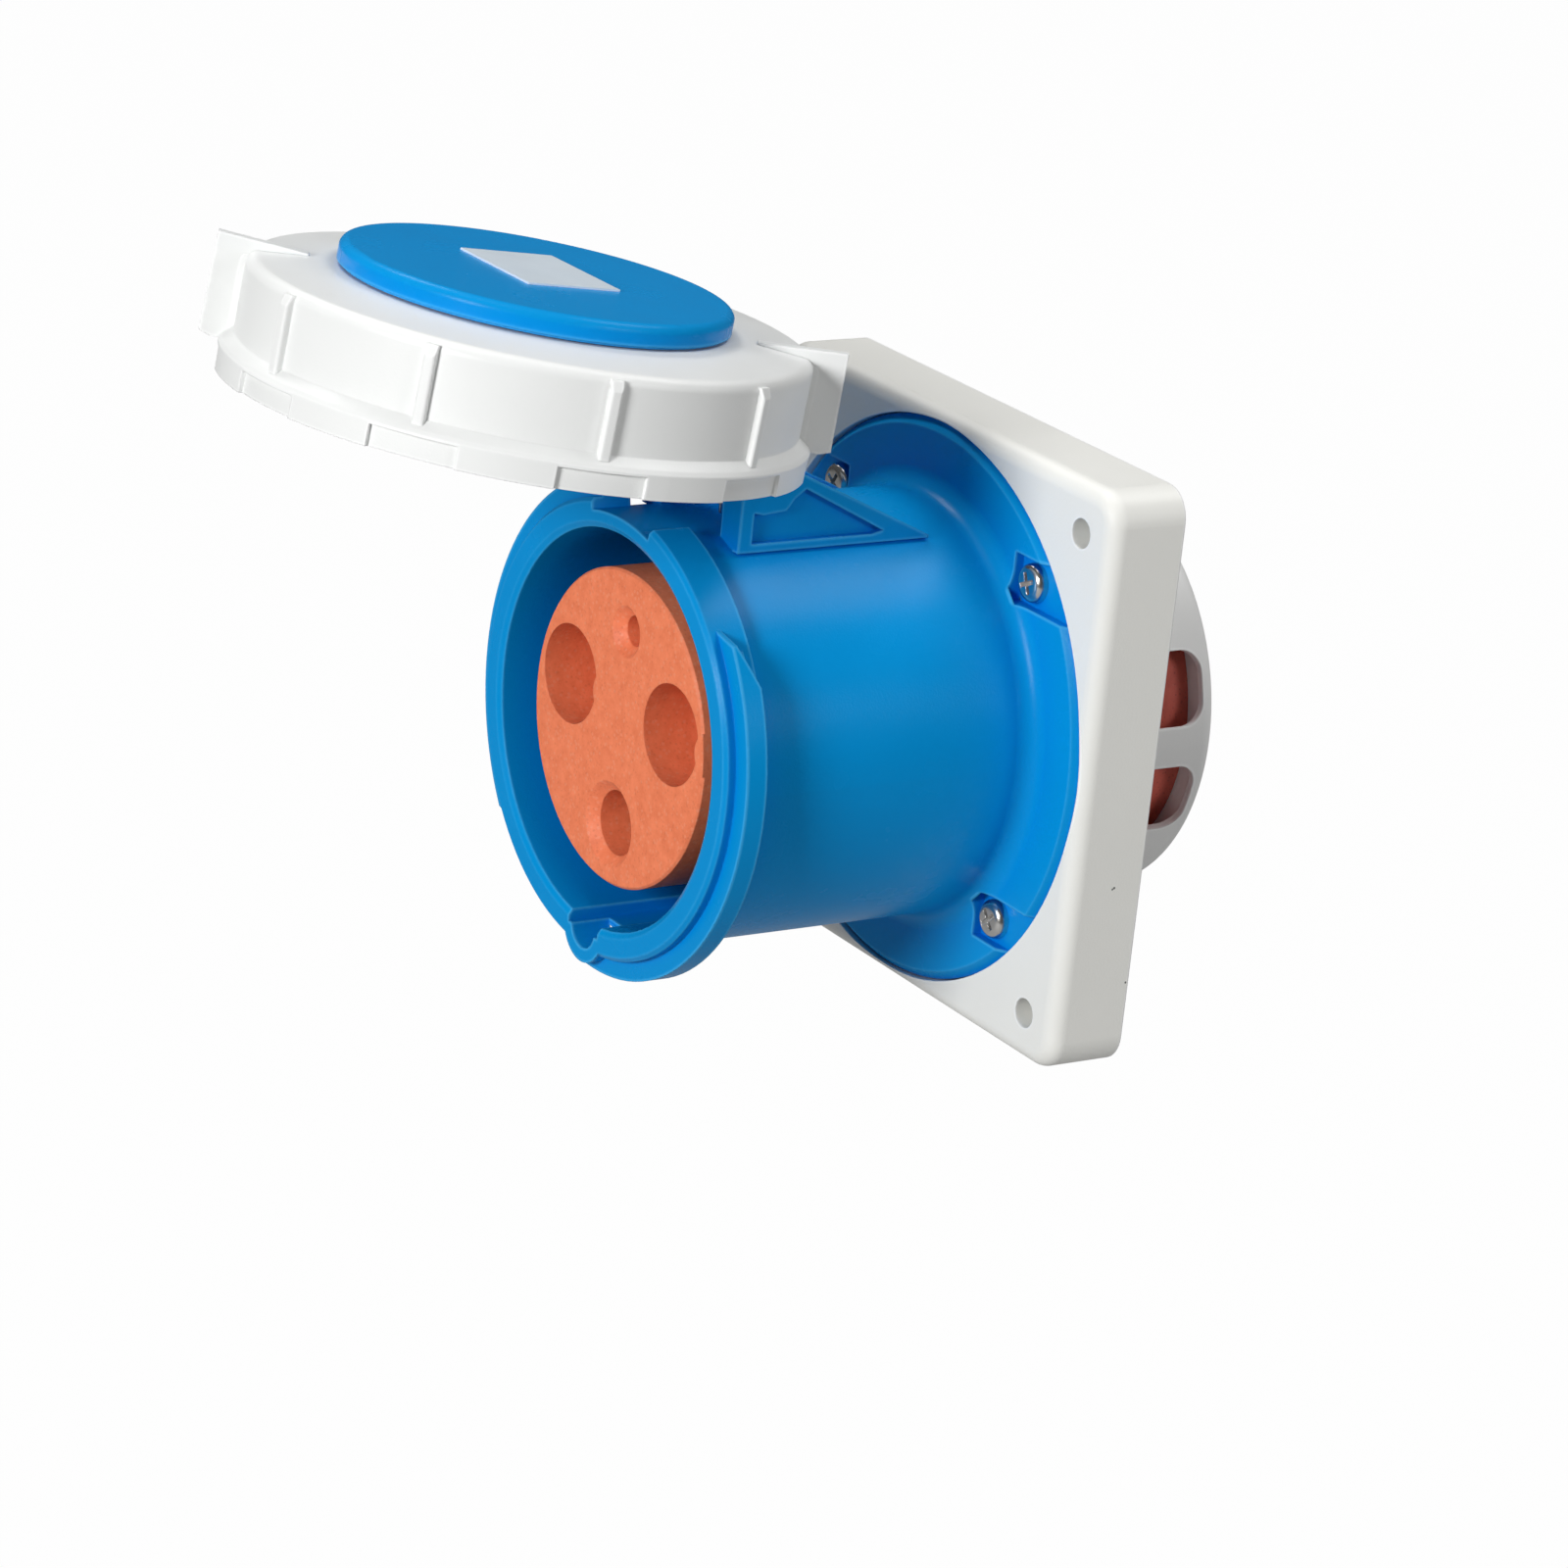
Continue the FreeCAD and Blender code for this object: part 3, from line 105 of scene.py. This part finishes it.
class Graph:
    # the node tree of a material or the world, with nodes added by type
    def __init__(self, tree):
        self.tree = tree

    def node(self, kind, settings, inputs, output=0):
        made = self.tree.nodes.new(kind)
        for key, value in settings.items():
            setattr(made, key, value)
        for key, value in inputs.items():
            if isinstance(value, Signal):
                self.tree.links.new(value.socket, made.inputs[key])
            else:
                made.inputs[key].default_value = value
        return Signal(self, made.outputs[output])

    def rays(self, kind):
        return self.node("ShaderNodeLightPath", {}, {}, kind)

    def show(self, kind, signal):
        self.tree.links.new(signal.socket, self.tree.nodes[kind].inputs["Surface"])


# samples, and the shares of open space between which the painted highlights on edges and the painted shade
# in recesses fade in
edgeLook = {"edgeSamples": 6, "flat": 0.97, "sharp": 0.70, "hollowSamples": 5, "open": 0.80, "deep": 0.25,
            "bevelSamples": 5}


class Finish(Graph):
    # one material: a Principled surface and what feeds it
    def __init__(self, name, constants):
        self.material = bpy.data.materials.new(name)
        self.material.use_nodes = True
        super().__init__(self.material.node_tree)
        self.surface = self.tree.nodes["Principled BSDF"]
        for socket, value in constants.items():
            self.surface.inputs[socket].default_value = value
        self.place = self.node("ShaderNodeTexCoord", {}, {}, "Object")

    def noise(self, scale, detail, roughness=0.5):
        inputs = {"Vector": self.place, "Scale": scale, "Detail": detail, "Roughness": roughness}
        return self.node("ShaderNodeTexNoise", {}, inputs, "Fac")

    def step(self, value, low, high):
        inputs = {"Value": value, "From Min": low, "From Max": high}
        return self.node("ShaderNodeMapRange", {"clamp": True}, inputs)

    def spots(self, scale, size, edge):
        inputs = {"Vector": self.place, "Scale": scale}
        distance = self.node("ShaderNodeTexVoronoi", {}, inputs, "Distance")
        return self.step(distance, size + edge, size)

    def mix(self, factor, first, second):
        # the Mix node's sockets for colours are its inputs 6 and 7 and its output 2
        return self.node("ShaderNodeMix", {"data_type": "RGBA"}, {0: factor, 6: first, 7: second}, 2)

    def paintedHighlightMask(self, width):
        # 1 along edges that stand out, where a lighter colour is painted as a highlight, 0 on flats and in
        # corners
        inside = {"inside": True, "only_local": True, "samples": edgeLook["edgeSamples"]}
        room = self.node("ShaderNodeAmbientOcclusion", inside, {"Distance": width}, "AO")
        return self.step(room, edgeLook["flat"], edgeLook["sharp"])

    def paintedShadeMask(self, reach):
        # 1 deep in recesses and corners, where a darker colour is painted as shade, 0 on open faces
        around = {"samples": edgeLook["hollowSamples"]}
        room = self.node("ShaderNodeAmbientOcclusion", around, {"Distance": reach}, "AO")
        return self.step(room, edgeLook["open"], edgeLook["deep"])

    def skin(self, settings):
        # fine relief over edges that catch the light as moulded ones do
        samples = {"samples": edgeLook["bevelSamples"]}
        rounded = self.node("ShaderNodeBevel", samples, {"Radius": settings["edge"]})
        height = self.noise(settings["skinScale"], settings["skinDetail"])
        inputs = {"Strength": settings["skinStrength"], "Distance": settings["skinDepth"], "Height": height,
                  "Normal": rounded}
        self.feed("Normal", self.node("ShaderNodeBump", {}, inputs))

    def gloss(self, settings):
        uneven = self.noise(settings["glossScale"], settings["glossDetail"])
        self.feed("Roughness", uneven * settings["roughnessSpread"] + settings["roughness"])

    def feed(self, socket, signal):
        self.tree.links.new(signal.socket, self.surface.inputs[socket])


def colour(shade):
    return (*shade, 1.0)


speckLook = {"shade": (0.045, 0.048, 0.045), "outer": 1.35, "inner": 0.65}


def smoothFinish(settings):
    # plastics, rubber, metals and the label: a faint cloudy colour, with specks, painted shade in recesses
    # and painted highlights along edges where they are given
    finish = Finish(settings["name"], settings["constants"])
    cloud = finish.noise(settings["cloudScale"], settings["cloudDetail"])
    ground = finish.mix(cloud, colour(settings["dark"]), colour(settings["light"]))
    for across, depth, up, radius in settings.get("specks", ()):
        inputs = {0: finish.place, 1: (across, depth, up)}
        distance = finish.node("ShaderNodeVectorMath", {"operation": "DISTANCE"}, inputs, "Value")
        speck = finish.step(distance, radius * speckLook["outer"], radius * speckLook["inner"])
        ground = finish.mix(speck, ground, colour(speckLook["shade"]))
    # painted shade: a deeper colour mixed in where recesses and corners hold shade
    if "paintedHollowShade" in settings:
        deep = finish.paintedShadeMask(settings["hollowReach"])
        ground = finish.mix(deep, ground, colour(settings["paintedHollowShade"]))
    # painted highlight: a lighter colour mixed in along edges that stand out, where light would catch them
    if "paintedEdgeHighlight" in settings:
        edges = finish.paintedHighlightMask(settings["edgeWidth"]) * settings["edgeAmount"]
        ground = finish.mix(edges, ground, colour(settings["paintedEdgeHighlight"]))
    finish.feed("Base Color", ground)
    finish.gloss(settings)
    finish.skin(settings)
    return finish.material


plasticFamily = {"cloudDetail": 3.0, "glossDetail": 4.0, "skinDetail": 2.0, "skinDepth": 0.0002}
blueSettings = {
    **plasticFamily, "name": "bluePlastic", "constants": {"Specular IOR Level": 0.06},
    "dark": (0.0008, 0.250, 0.606), "light": (0.0014, 0.284, 0.668), "cloudScale": 22.0,
    "glossScale": 88.0, "roughness": 0.20, "roughnessSpread": 0.12,
    "skinScale": 2200.0, "skinStrength": 0.18, "edge": 0.0005,
    # a lighter blue painted as highlights along edges, and a deeper blue painted as shade in recesses
    "paintedEdgeHighlight": (0.070, 0.460, 0.850), "edgeWidth": 0.0007, "edgeAmount": 0.60,
    "paintedHollowShade": (0.0004, 0.185, 0.670), "hollowReach": 0.020,
}
whiteSettings = {
    **plasticFamily, "name": "whitePlastic", "constants": {"Specular IOR Level": 0.45},
    "dark": (0.785, 0.795, 0.785), "light": (0.835, 0.845, 0.835), "cloudScale": 18.0,
    "glossScale": 72.0, "roughness": 0.36, "roughnessSpread": 0.16,
    "skinScale": 2200.0, "skinStrength": 0.12, "edge": 0.0005,
    # a lighter white painted as highlights along edges
    "paintedEdgeHighlight": (0.950, 0.955, 0.950), "edgeWidth": 0.0006, "edgeAmount": 0.90,
}
plateSettings = {
    **plasticFamily, "name": "paleGreyPlastic", "constants": {"Specular IOR Level": 0.45},
    "dark": (0.790, 0.788, 0.748), "light": (0.845, 0.842, 0.803), "cloudScale": 15.0,
    "glossScale": 60.0, "roughness": 0.38, "roughnessSpread": 0.18,
    "skinScale": 1800.0, "skinStrength": 0.16, "edge": 0.00045,
    # a lighter grey painted as highlights along edges
    "paintedEdgeHighlight": (0.930, 0.935, 0.930), "edgeWidth": 0.0006, "edgeAmount": 0.70,
    # two small dark specks on the right side, one of them two spots: across, depth, up, radius
    "specks": ((0.0600, -0.00676, -0.02126, 0.00021), (0.0600, -0.00634, -0.02102, 0.00024),
               (0.0600, -0.00060, -0.04175, 0.00022)),
}
cageSettings = {
    **plasticFamily, "name": "cagePlastic", "constants": {"Specular IOR Level": 0.45},
    "dark": (0.780, 0.780, 0.770), "light": (0.840, 0.840, 0.830), "cloudScale": 20.0,
    "glossScale": 80.0, "roughness": 0.38, "roughnessSpread": 0.15,
    "skinScale": 1800.0, "skinStrength": 0.14, "edge": 0.00045,
    # a lighter grey painted as highlights along edges
    "paintedEdgeHighlight": (0.950, 0.950, 0.945), "edgeWidth": 0.0007, "edgeAmount": 0.80,
}
rubberSettings = {
    **plasticFamily, "name": "blackRubber", "constants": {"Specular IOR Level": 0.3},
    "dark": (0.018, 0.018, 0.019), "light": (0.030, 0.030, 0.032), "cloudScale": 30.0,
    "glossScale": 120.0, "roughness": 0.62, "roughnessSpread": 0.2,
    "skinScale": 1400.0, "skinStrength": 0.25, "edge": 0.0003,
}
metalFamily = {
    "constants": {"Metallic": 1.0}, "cloudDetail": 4.0, "glossDetail": 4.0, "roughnessSpread": 0.16,
    "skinDetail": 2.0, "skinStrength": 0.12, "skinDepth": 0.0001,
}
nickelSettings = {
    **metalFamily, "name": "nickelPlate", "dark": (0.56, 0.55, 0.53), "light": (0.80, 0.79, 0.77),
    "cloudScale": 260.0, "glossScale": 780.0, "roughness": 0.14, "skinScale": 3000.0, "edge": 0.00012,
}
brassSettings = {
    **metalFamily, "name": "brass", "dark": (0.58, 0.43, 0.20), "light": (0.78, 0.62, 0.34),
    "cloudScale": 180.0, "glossScale": 540.0, "roughness": 0.22, "skinScale": 2600.0, "edge": 0.0002,
}
steelSettings = {
    **metalFamily, "name": "springSteel", "dark": (0.42, 0.42, 0.43), "light": (0.62, 0.62, 0.63),
    "cloudScale": 200.0, "glossScale": 600.0, "roughness": 0.24, "skinScale": 2600.0, "edge": 0.00012,
}
# a foil label with nothing on it: silver-blue, faintly brushed
labelSettings = {
    "name": "labelFoil", "constants": {"Specular IOR Level": 0.5},
    "dark": (0.635, 0.720, 0.800), "light": (0.725, 0.805, 0.870), "cloudScale": 90.0, "cloudDetail": 3.0,
    "glossScale": 120.0, "glossDetail": 3.0, "roughness": 0.28, "roughnessSpread": 0.15,
    "skinScale": 900.0, "skinDetail": 2.0, "skinStrength": 0.08, "skinDepth": 0.0001, "edge": 0.0001,
}


def speckledFinish(settings):
    # thermoset compound: pale flecks and dark grains in a matt ground
    finish = Finish(settings["name"], settings["constants"])
    cloud = finish.noise(settings["cloudScale"], settings["cloudDetail"], settings["cloudRoughness"])
    cloud = finish.step(cloud, settings["cloudLow"], settings["cloudHigh"])
    ground = finish.mix(cloud, colour(settings["dark"]), colour(settings["light"]))
    for kind in ("fleck", "grain"):
        spots = finish.spots(settings[kind + "Scale"], settings[kind + "Size"], settings[kind + "Edge"])
        ground = finish.mix(spots * settings[kind + "Amount"], ground, colour(settings[kind]))
    finish.feed("Base Color", ground)
    finish.gloss(settings)
    finish.skin(settings)
    return finish.material


compoundFamily = {
    "constants": {"Specular IOR Level": 0.35}, "cloudDetail": 6.0, "cloudRoughness": 0.72,
    "cloudLow": 0.32, "cloudHigh": 0.68, "fleckEdge": 0.08, "grainEdge": 0.06,
    "glossScale": 60.0, "glossDetail": 3.0, "roughnessSpread": 0.2,
    "skinScale": 900.0, "skinDetail": 3.0, "skinStrength": 0.25, "skinDepth": 0.0002,
}
carrierSettings = {
    **compoundFamily, "name": "orangeCompound",
    "dark": (0.785, 0.186, 0.077), "light": (0.920, 0.250, 0.114),
    "fleck": (0.86, 0.36, 0.22), "fleckScale": 800.0, "fleckSize": 0.24, "fleckAmount": 0.32,
    "grain": (0.42, 0.08, 0.035), "grainScale": 950.0, "grainSize": 0.22, "grainAmount": 0.16,
    "cloudScale": 330.0, "roughness": 0.46, "edge": 0.00035,
}
rearCarrierSettings = {
    **compoundFamily, "name": "brownCompound",
    "dark": (0.560, 0.110, 0.078), "light": (0.680, 0.140, 0.100),
    "fleck": (0.56, 0.18, 0.13), "fleckScale": 900.0, "fleckSize": 0.20, "fleckAmount": 0.20,
    "grain": (0.16, 0.035, 0.026), "grainScale": 1100.0, "grainSize": 0.20, "grainAmount": 0.30,
    "cloudScale": 150.0, "roughness": 0.50, "edge": 0.0004,
}

blue = smoothFinish(blueSettings)
rubber = smoothFinish(rubberSettings)
paleGrey = smoothFinish(plateSettings)
nickel = smoothFinish(nickelSettings)
brass = smoothFinish(brassSettings)
steel = smoothFinish(steelSettings)
finishOf = {
    "mounting_plate": paleGrey, "wall_gasket": rubber, "flange_seal": rubber, "lid_seal": rubber,
    "socket_housing": blue, "lid_disc": blue, "lid_cap": blue, "hinge_pin": steel, "hinge_spring": steel,
    "locking_ring": smoothFinish(whiteSettings), "rear_cage": smoothFinish(cageSettings),
    "contact_carrier": speckledFinish(carrierSettings), "rear_carrier": speckledFinish(rearCarrierSettings),
    "label_plate": smoothFinish(labelSettings),
}
for name, node in nodes.items():
    finish = finishOf.get(name, brass if name.endswith("_contact") else nickel)
    node.data.materials.clear()
    node.data.materials.append(finish)
print("stage: finishes given")


# pan-head screws with a tapered cross recess, in place of the plain ones; the arms' reach and width are
# shares of the head's diameter, the dome and the arms' depth of its height, and the tip is in metres
panScrew = {
    "sides": 56, "dome": 0.66, "domeSteps": 7, "domeRound": 0.5, "smoothTo": 35.0,
    "armReach": 0.60, "armWidth": 0.125, "armDepth": 0.66, "armAbove": 0.1, "taper": 0.42,
    "tip": 0.0008, "tipShare": 0.6, "rimShare": 0.97, "endFacing": 0.9,
}
screwRows = (
    {"body": "socket", "facing": (0, -1, 0), "turns": {
        "housing_screw_upper_right": 24.0, "housing_screw_upper_left": 58.0,
        "housing_screw_lower_left": 7.0, "housing_screw_lower_right": 39.0}},
    {"body": "socket", "facing": (0, 1, 0), "turns": {
        "carrier_screw_1": 12.0, "carrier_screw_2": 47.0, "carrier_screw_3": 71.0,
        "cage_screw_1": 31.0, "cage_screw_2": 80.0}},
    {"body": "lid", "facing": (0, -0.123601, -0.992332), "turns": {
        "lid_screw_1": 15.0, "lid_screw_2": 52.0, "lid_screw_3": 84.0}},
)


def measureScrew(name, axis):
    # where a screw of the frame stands, and the radii and heights that the new one takes over
    side = axis.orthogonal().normalized()
    other = axis.cross(side)
    points = [vertex.co for vertex in nodes[name].data.vertices]
    across = [side.dot(point) for point in points]
    along = [other.dot(point) for point in points]
    heights = [axis.dot(point) for point in points]
    middle = (max(across) + min(across)) / 2, (max(along) + min(along)) / 2
    radii = [math.hypot(x - middle[0], y - middle[1]) for x, y in zip(across, along)]
    head = max(radii)
    rim = head * panScrew["rimShare"]
    seat = min(height for height, radius in zip(heights, radii) if radius > rim)
    shank = max(radius for height, radius in zip(heights, radii) if height < seat - panScrew["tip"])
    foot = side * middle[0] + other * middle[1] + axis * seat
    return {"foot": foot, "head": head, "height": max(heights) - seat, "shank": shank,
            "length": seat - min(heights)}


def selectFaces(mesh, chosen):
    for face in mesh.polygons:
        face.select = chosen(face)
    for edge in mesh.edges:
        edge.select = False
    for vertex in mesh.vertices:
        vertex.select = False


def cutCross(screw, size, quarter):
    # one arm of the recess: a blade that narrows towards its foot
    bpy.ops.object.select_all(action="DESELECT")
    bpy.ops.mesh.primitive_cube_add(size=1.0)
    blade = bpy.context.object
    depth = size["height"] * panScrew["armDepth"]
    for vertex in blade.data.vertices:
        low = vertex.co.z < 0
        share = panScrew["taper"] if low else 1.0
        reach = 2 * size["head"] * panScrew["armReach"] * share
        width = 2 * size["head"] * panScrew["armWidth"] * share
        level = size["height"] - depth if low else size["height"] + depth * panScrew["armAbove"]
        vertex.co = (vertex.co.x * reach, vertex.co.y * width, level)
    blade.data.transform(Matrix.Rotation(math.radians(quarter), 4, "Z"))
    bpy.ops.object.select_all(action="DESELECT")
    screw.select_set(True)
    bpy.context.view_layer.objects.active = screw
    bpy.ops.object.modifier_add(type="BOOLEAN")
    cut = screw.modifiers[-1]
    cut.operation = "DIFFERENCE"
    cut.solver = "EXACT"
    cut.object = blade
    bpy.ops.object.modifier_apply(modifier=cut.name)
    bpy.data.objects.remove(blade, do_unlink=True)


def makeScrew(size):
    # a plain screw at the origin, head up: dome, shank, pointed tip and cross recess
    bpy.ops.object.select_all(action="DESELECT")
    bpy.ops.mesh.primitive_cylinder_add(vertices=panScrew["sides"], radius=size["head"],
                                        depth=size["height"], location=(0, 0, size["height"] / 2))
    screw = bpy.context.object
    bpy.ops.object.transform_apply(location=True, rotation=False, scale=False)
    selectFaces(screw.data, lambda face: face.normal.z > panScrew["endFacing"])
    bpy.ops.object.mode_set(mode="EDIT")
    bpy.ops.mesh.select_mode(type="FACE")
    bpy.ops.mesh.bevel(offset=size["height"] * panScrew["dome"], segments=panScrew["domeSteps"],
                       profile=panScrew["domeRound"], affect="EDGES")
    bpy.ops.object.mode_set(mode="OBJECT")
    selectFaces(screw.data, lambda face: face.normal.z < -panScrew["endFacing"])
    bpy.ops.object.mode_set(mode="EDIT")
    bpy.ops.mesh.inset(thickness=size["head"] - size["shank"])
    for length in (size["length"] - panScrew["tip"], panScrew["tip"]):
        bpy.ops.mesh.extrude_region_move(TRANSFORM_OT_translate={"value": (0, 0, -length)})
    bpy.ops.transform.resize(value=(panScrew["tipShare"], panScrew["tipShare"], 1.0))
    bpy.ops.object.mode_set(mode="OBJECT")
    for quarter in (0.0, 90.0):
        cutCross(screw, size, quarter)
    bpy.ops.object.shade_smooth_by_angle(angle=math.radians(panScrew["smoothTo"]))
    return screw


for row in screwRows:
    axis = Vector(row["facing"]).normalized()
    upright = axis.to_track_quat("Z", "Y").to_matrix().to_4x4()
    pattern = None
    for name, turn in row["turns"].items():
        size = measureScrew(name, axis)
        if pattern is None:
            pattern = makeScrew(size)
        screw = bpy.data.objects.new(name + "_head", pattern.data.copy())
        bpy.context.scene.collection.objects.link(screw)
        turned = Matrix.Rotation(math.radians(turn), 4, "Z")
        screw.data.transform(Matrix.Translation(size["foot"]) @ upright @ turned)
        screw.data.materials.clear()
        screw.data.materials.append(nickel)
        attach(screw, row["body"])
        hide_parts(name)
    bpy.data.objects.remove(pattern, do_unlink=True)
print("stage: screws made")


# the hinge spring as smooth round wire, a merged and smoothed copy of the frame's spring left where that
# one stands; the real spring's upper leg rests on the lid's arm, so its coils wind up as the lid shuts
springWire = {"merge": 0.000001, "smoothing": 1,
              "lowCoil": (0.0028, -0.0675, 0.0515), "highCoil": (-0.0028, -0.0675, 0.0515)}


def makeSpring(settings):
    spring = bpy.data.objects.new("hinge_spring_wire", nodes["hinge_spring"].data.copy())
    bpy.context.scene.collection.objects.link(spring)
    bpy.ops.object.select_all(action="DESELECT")
    spring.select_set(True)
    bpy.context.view_layer.objects.active = spring
    bpy.ops.mesh.customdata_custom_splitnormals_clear()
    bpy.ops.object.mode_set(mode="EDIT")
    bpy.ops.mesh.select_all(action="SELECT")
    bpy.ops.mesh.remove_doubles(threshold=settings["merge"])
    bpy.ops.mesh.tris_convert_to_quads()
    bpy.ops.object.mode_set(mode="OBJECT")
    bpy.ops.object.modifier_add(type="SUBSURF")
    smooth = spring.modifiers[-1]
    smooth.levels = smooth.render_levels = settings["smoothing"]
    bpy.ops.object.modifier_apply(modifier=smooth.name)
    bpy.ops.object.shade_smooth()
    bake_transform(spring)
    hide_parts("hinge_spring")


makeSpring(springWire)
print("stage: spring made")


# the ground: white to the camera, a grey board to everything else
floorSettings = {"height": -0.42, "radius": 9.0, "sides": 64, "shade": (0.38, 0.38, 0.38), "roughness": 0.8,
                 "glow": 0.985, "shine": 0.02}
white = (1.0, 1.0, 1.0)


def addFloor(settings):
    bpy.ops.object.select_all(action="DESELECT")
    bpy.ops.mesh.primitive_circle_add(vertices=settings["sides"], radius=settings["radius"],
                                      fill_type="NGON", location=(0, 0, settings["height"]))
    floor = bpy.context.object
    floor.name = "floor"
    paint = {"Roughness": settings["roughness"], "Base Color": colour(settings["shade"])}
    finish = Finish("floorPaint", paint)
    direct = finish.rays("Is Camera Ray") + finish.rays("Is Transmission Ray")
    glowing = direct * settings["glow"] + finish.rays("Is Glossy Ray") * settings["shine"]
    painted = Signal(finish, finish.surface.outputs[0])
    glow = finish.node("ShaderNodeEmission", {}, {"Color": colour(white), "Strength": 1.0})
    mixed = finish.node("ShaderNodeMixShader", {}, {0: glowing, 1: painted, 2: glow})
    finish.show("Material Output", mixed)
    floor.data.materials.append(finish.material)


addFloor(floorSettings)


# lamps, and a background that is white to the camera and dim to the object
lampAim = (0.0, -0.05, 0.02)
lampSettings = (
    {"name": "keyLamp", "place": (0.650, -1.787, 0.618), "size": 0.6, "power": 31.8},
    {"name": "topLamp", "place": (0.0, -0.347, 1.970), "size": 0.9, "power": 4.4},
    {"name": "backLamp", "place": (0.174, 0.985, 1.732), "size": 0.9, "power": 14.6},
    {"name": "leftLamp", "place": (-1.130, -0.199, 1.638), "size": 0.6, "power": 12.6},
    {"name": "sideLamp", "place": (1.790, 0.600, 0.640), "size": 0.6, "power": 8.2},
)
worldLevel = 0.07


def addLamp(settings):
    data = bpy.data.lights.new(settings["name"], "AREA")
    data.shape = "DISK"
    data.size = settings["size"]
    data.energy = settings["power"]
    lamp = bpy.data.objects.new(settings["name"], data)
    bpy.context.scene.collection.objects.link(lamp)
    lamp.location = settings["place"]
    aim = Vector(lampAim) - Vector(settings["place"])
    lamp.rotation_euler = aim.to_track_quat("-Z", "Y").to_euler()


def addWorld(level):
    world = bpy.data.worlds.new("studio")
    bpy.context.scene.world = world
    world.use_nodes = True
    sky = Graph(world.node_tree)
    direct, through = sky.rays("Is Camera Ray"), sky.rays("Is Transmission Ray")
    either = sky.node("ShaderNodeMath", {"operation": "MAXIMUM"}, {0: direct, 1: through})
    dim, bright = (sky.node("ShaderNodeBackground", {}, {"Color": colour(white), "Strength": strength})
                   for strength in (level, 1.0))
    mixed = sky.node("ShaderNodeMixShader", {}, {0: either, 1: dim, 2: bright})
    sky.show("World Output", mixed)


for settings in lampSettings:
    addLamp(settings)
addWorld(worldLevel)
print("stage: light and floor set")
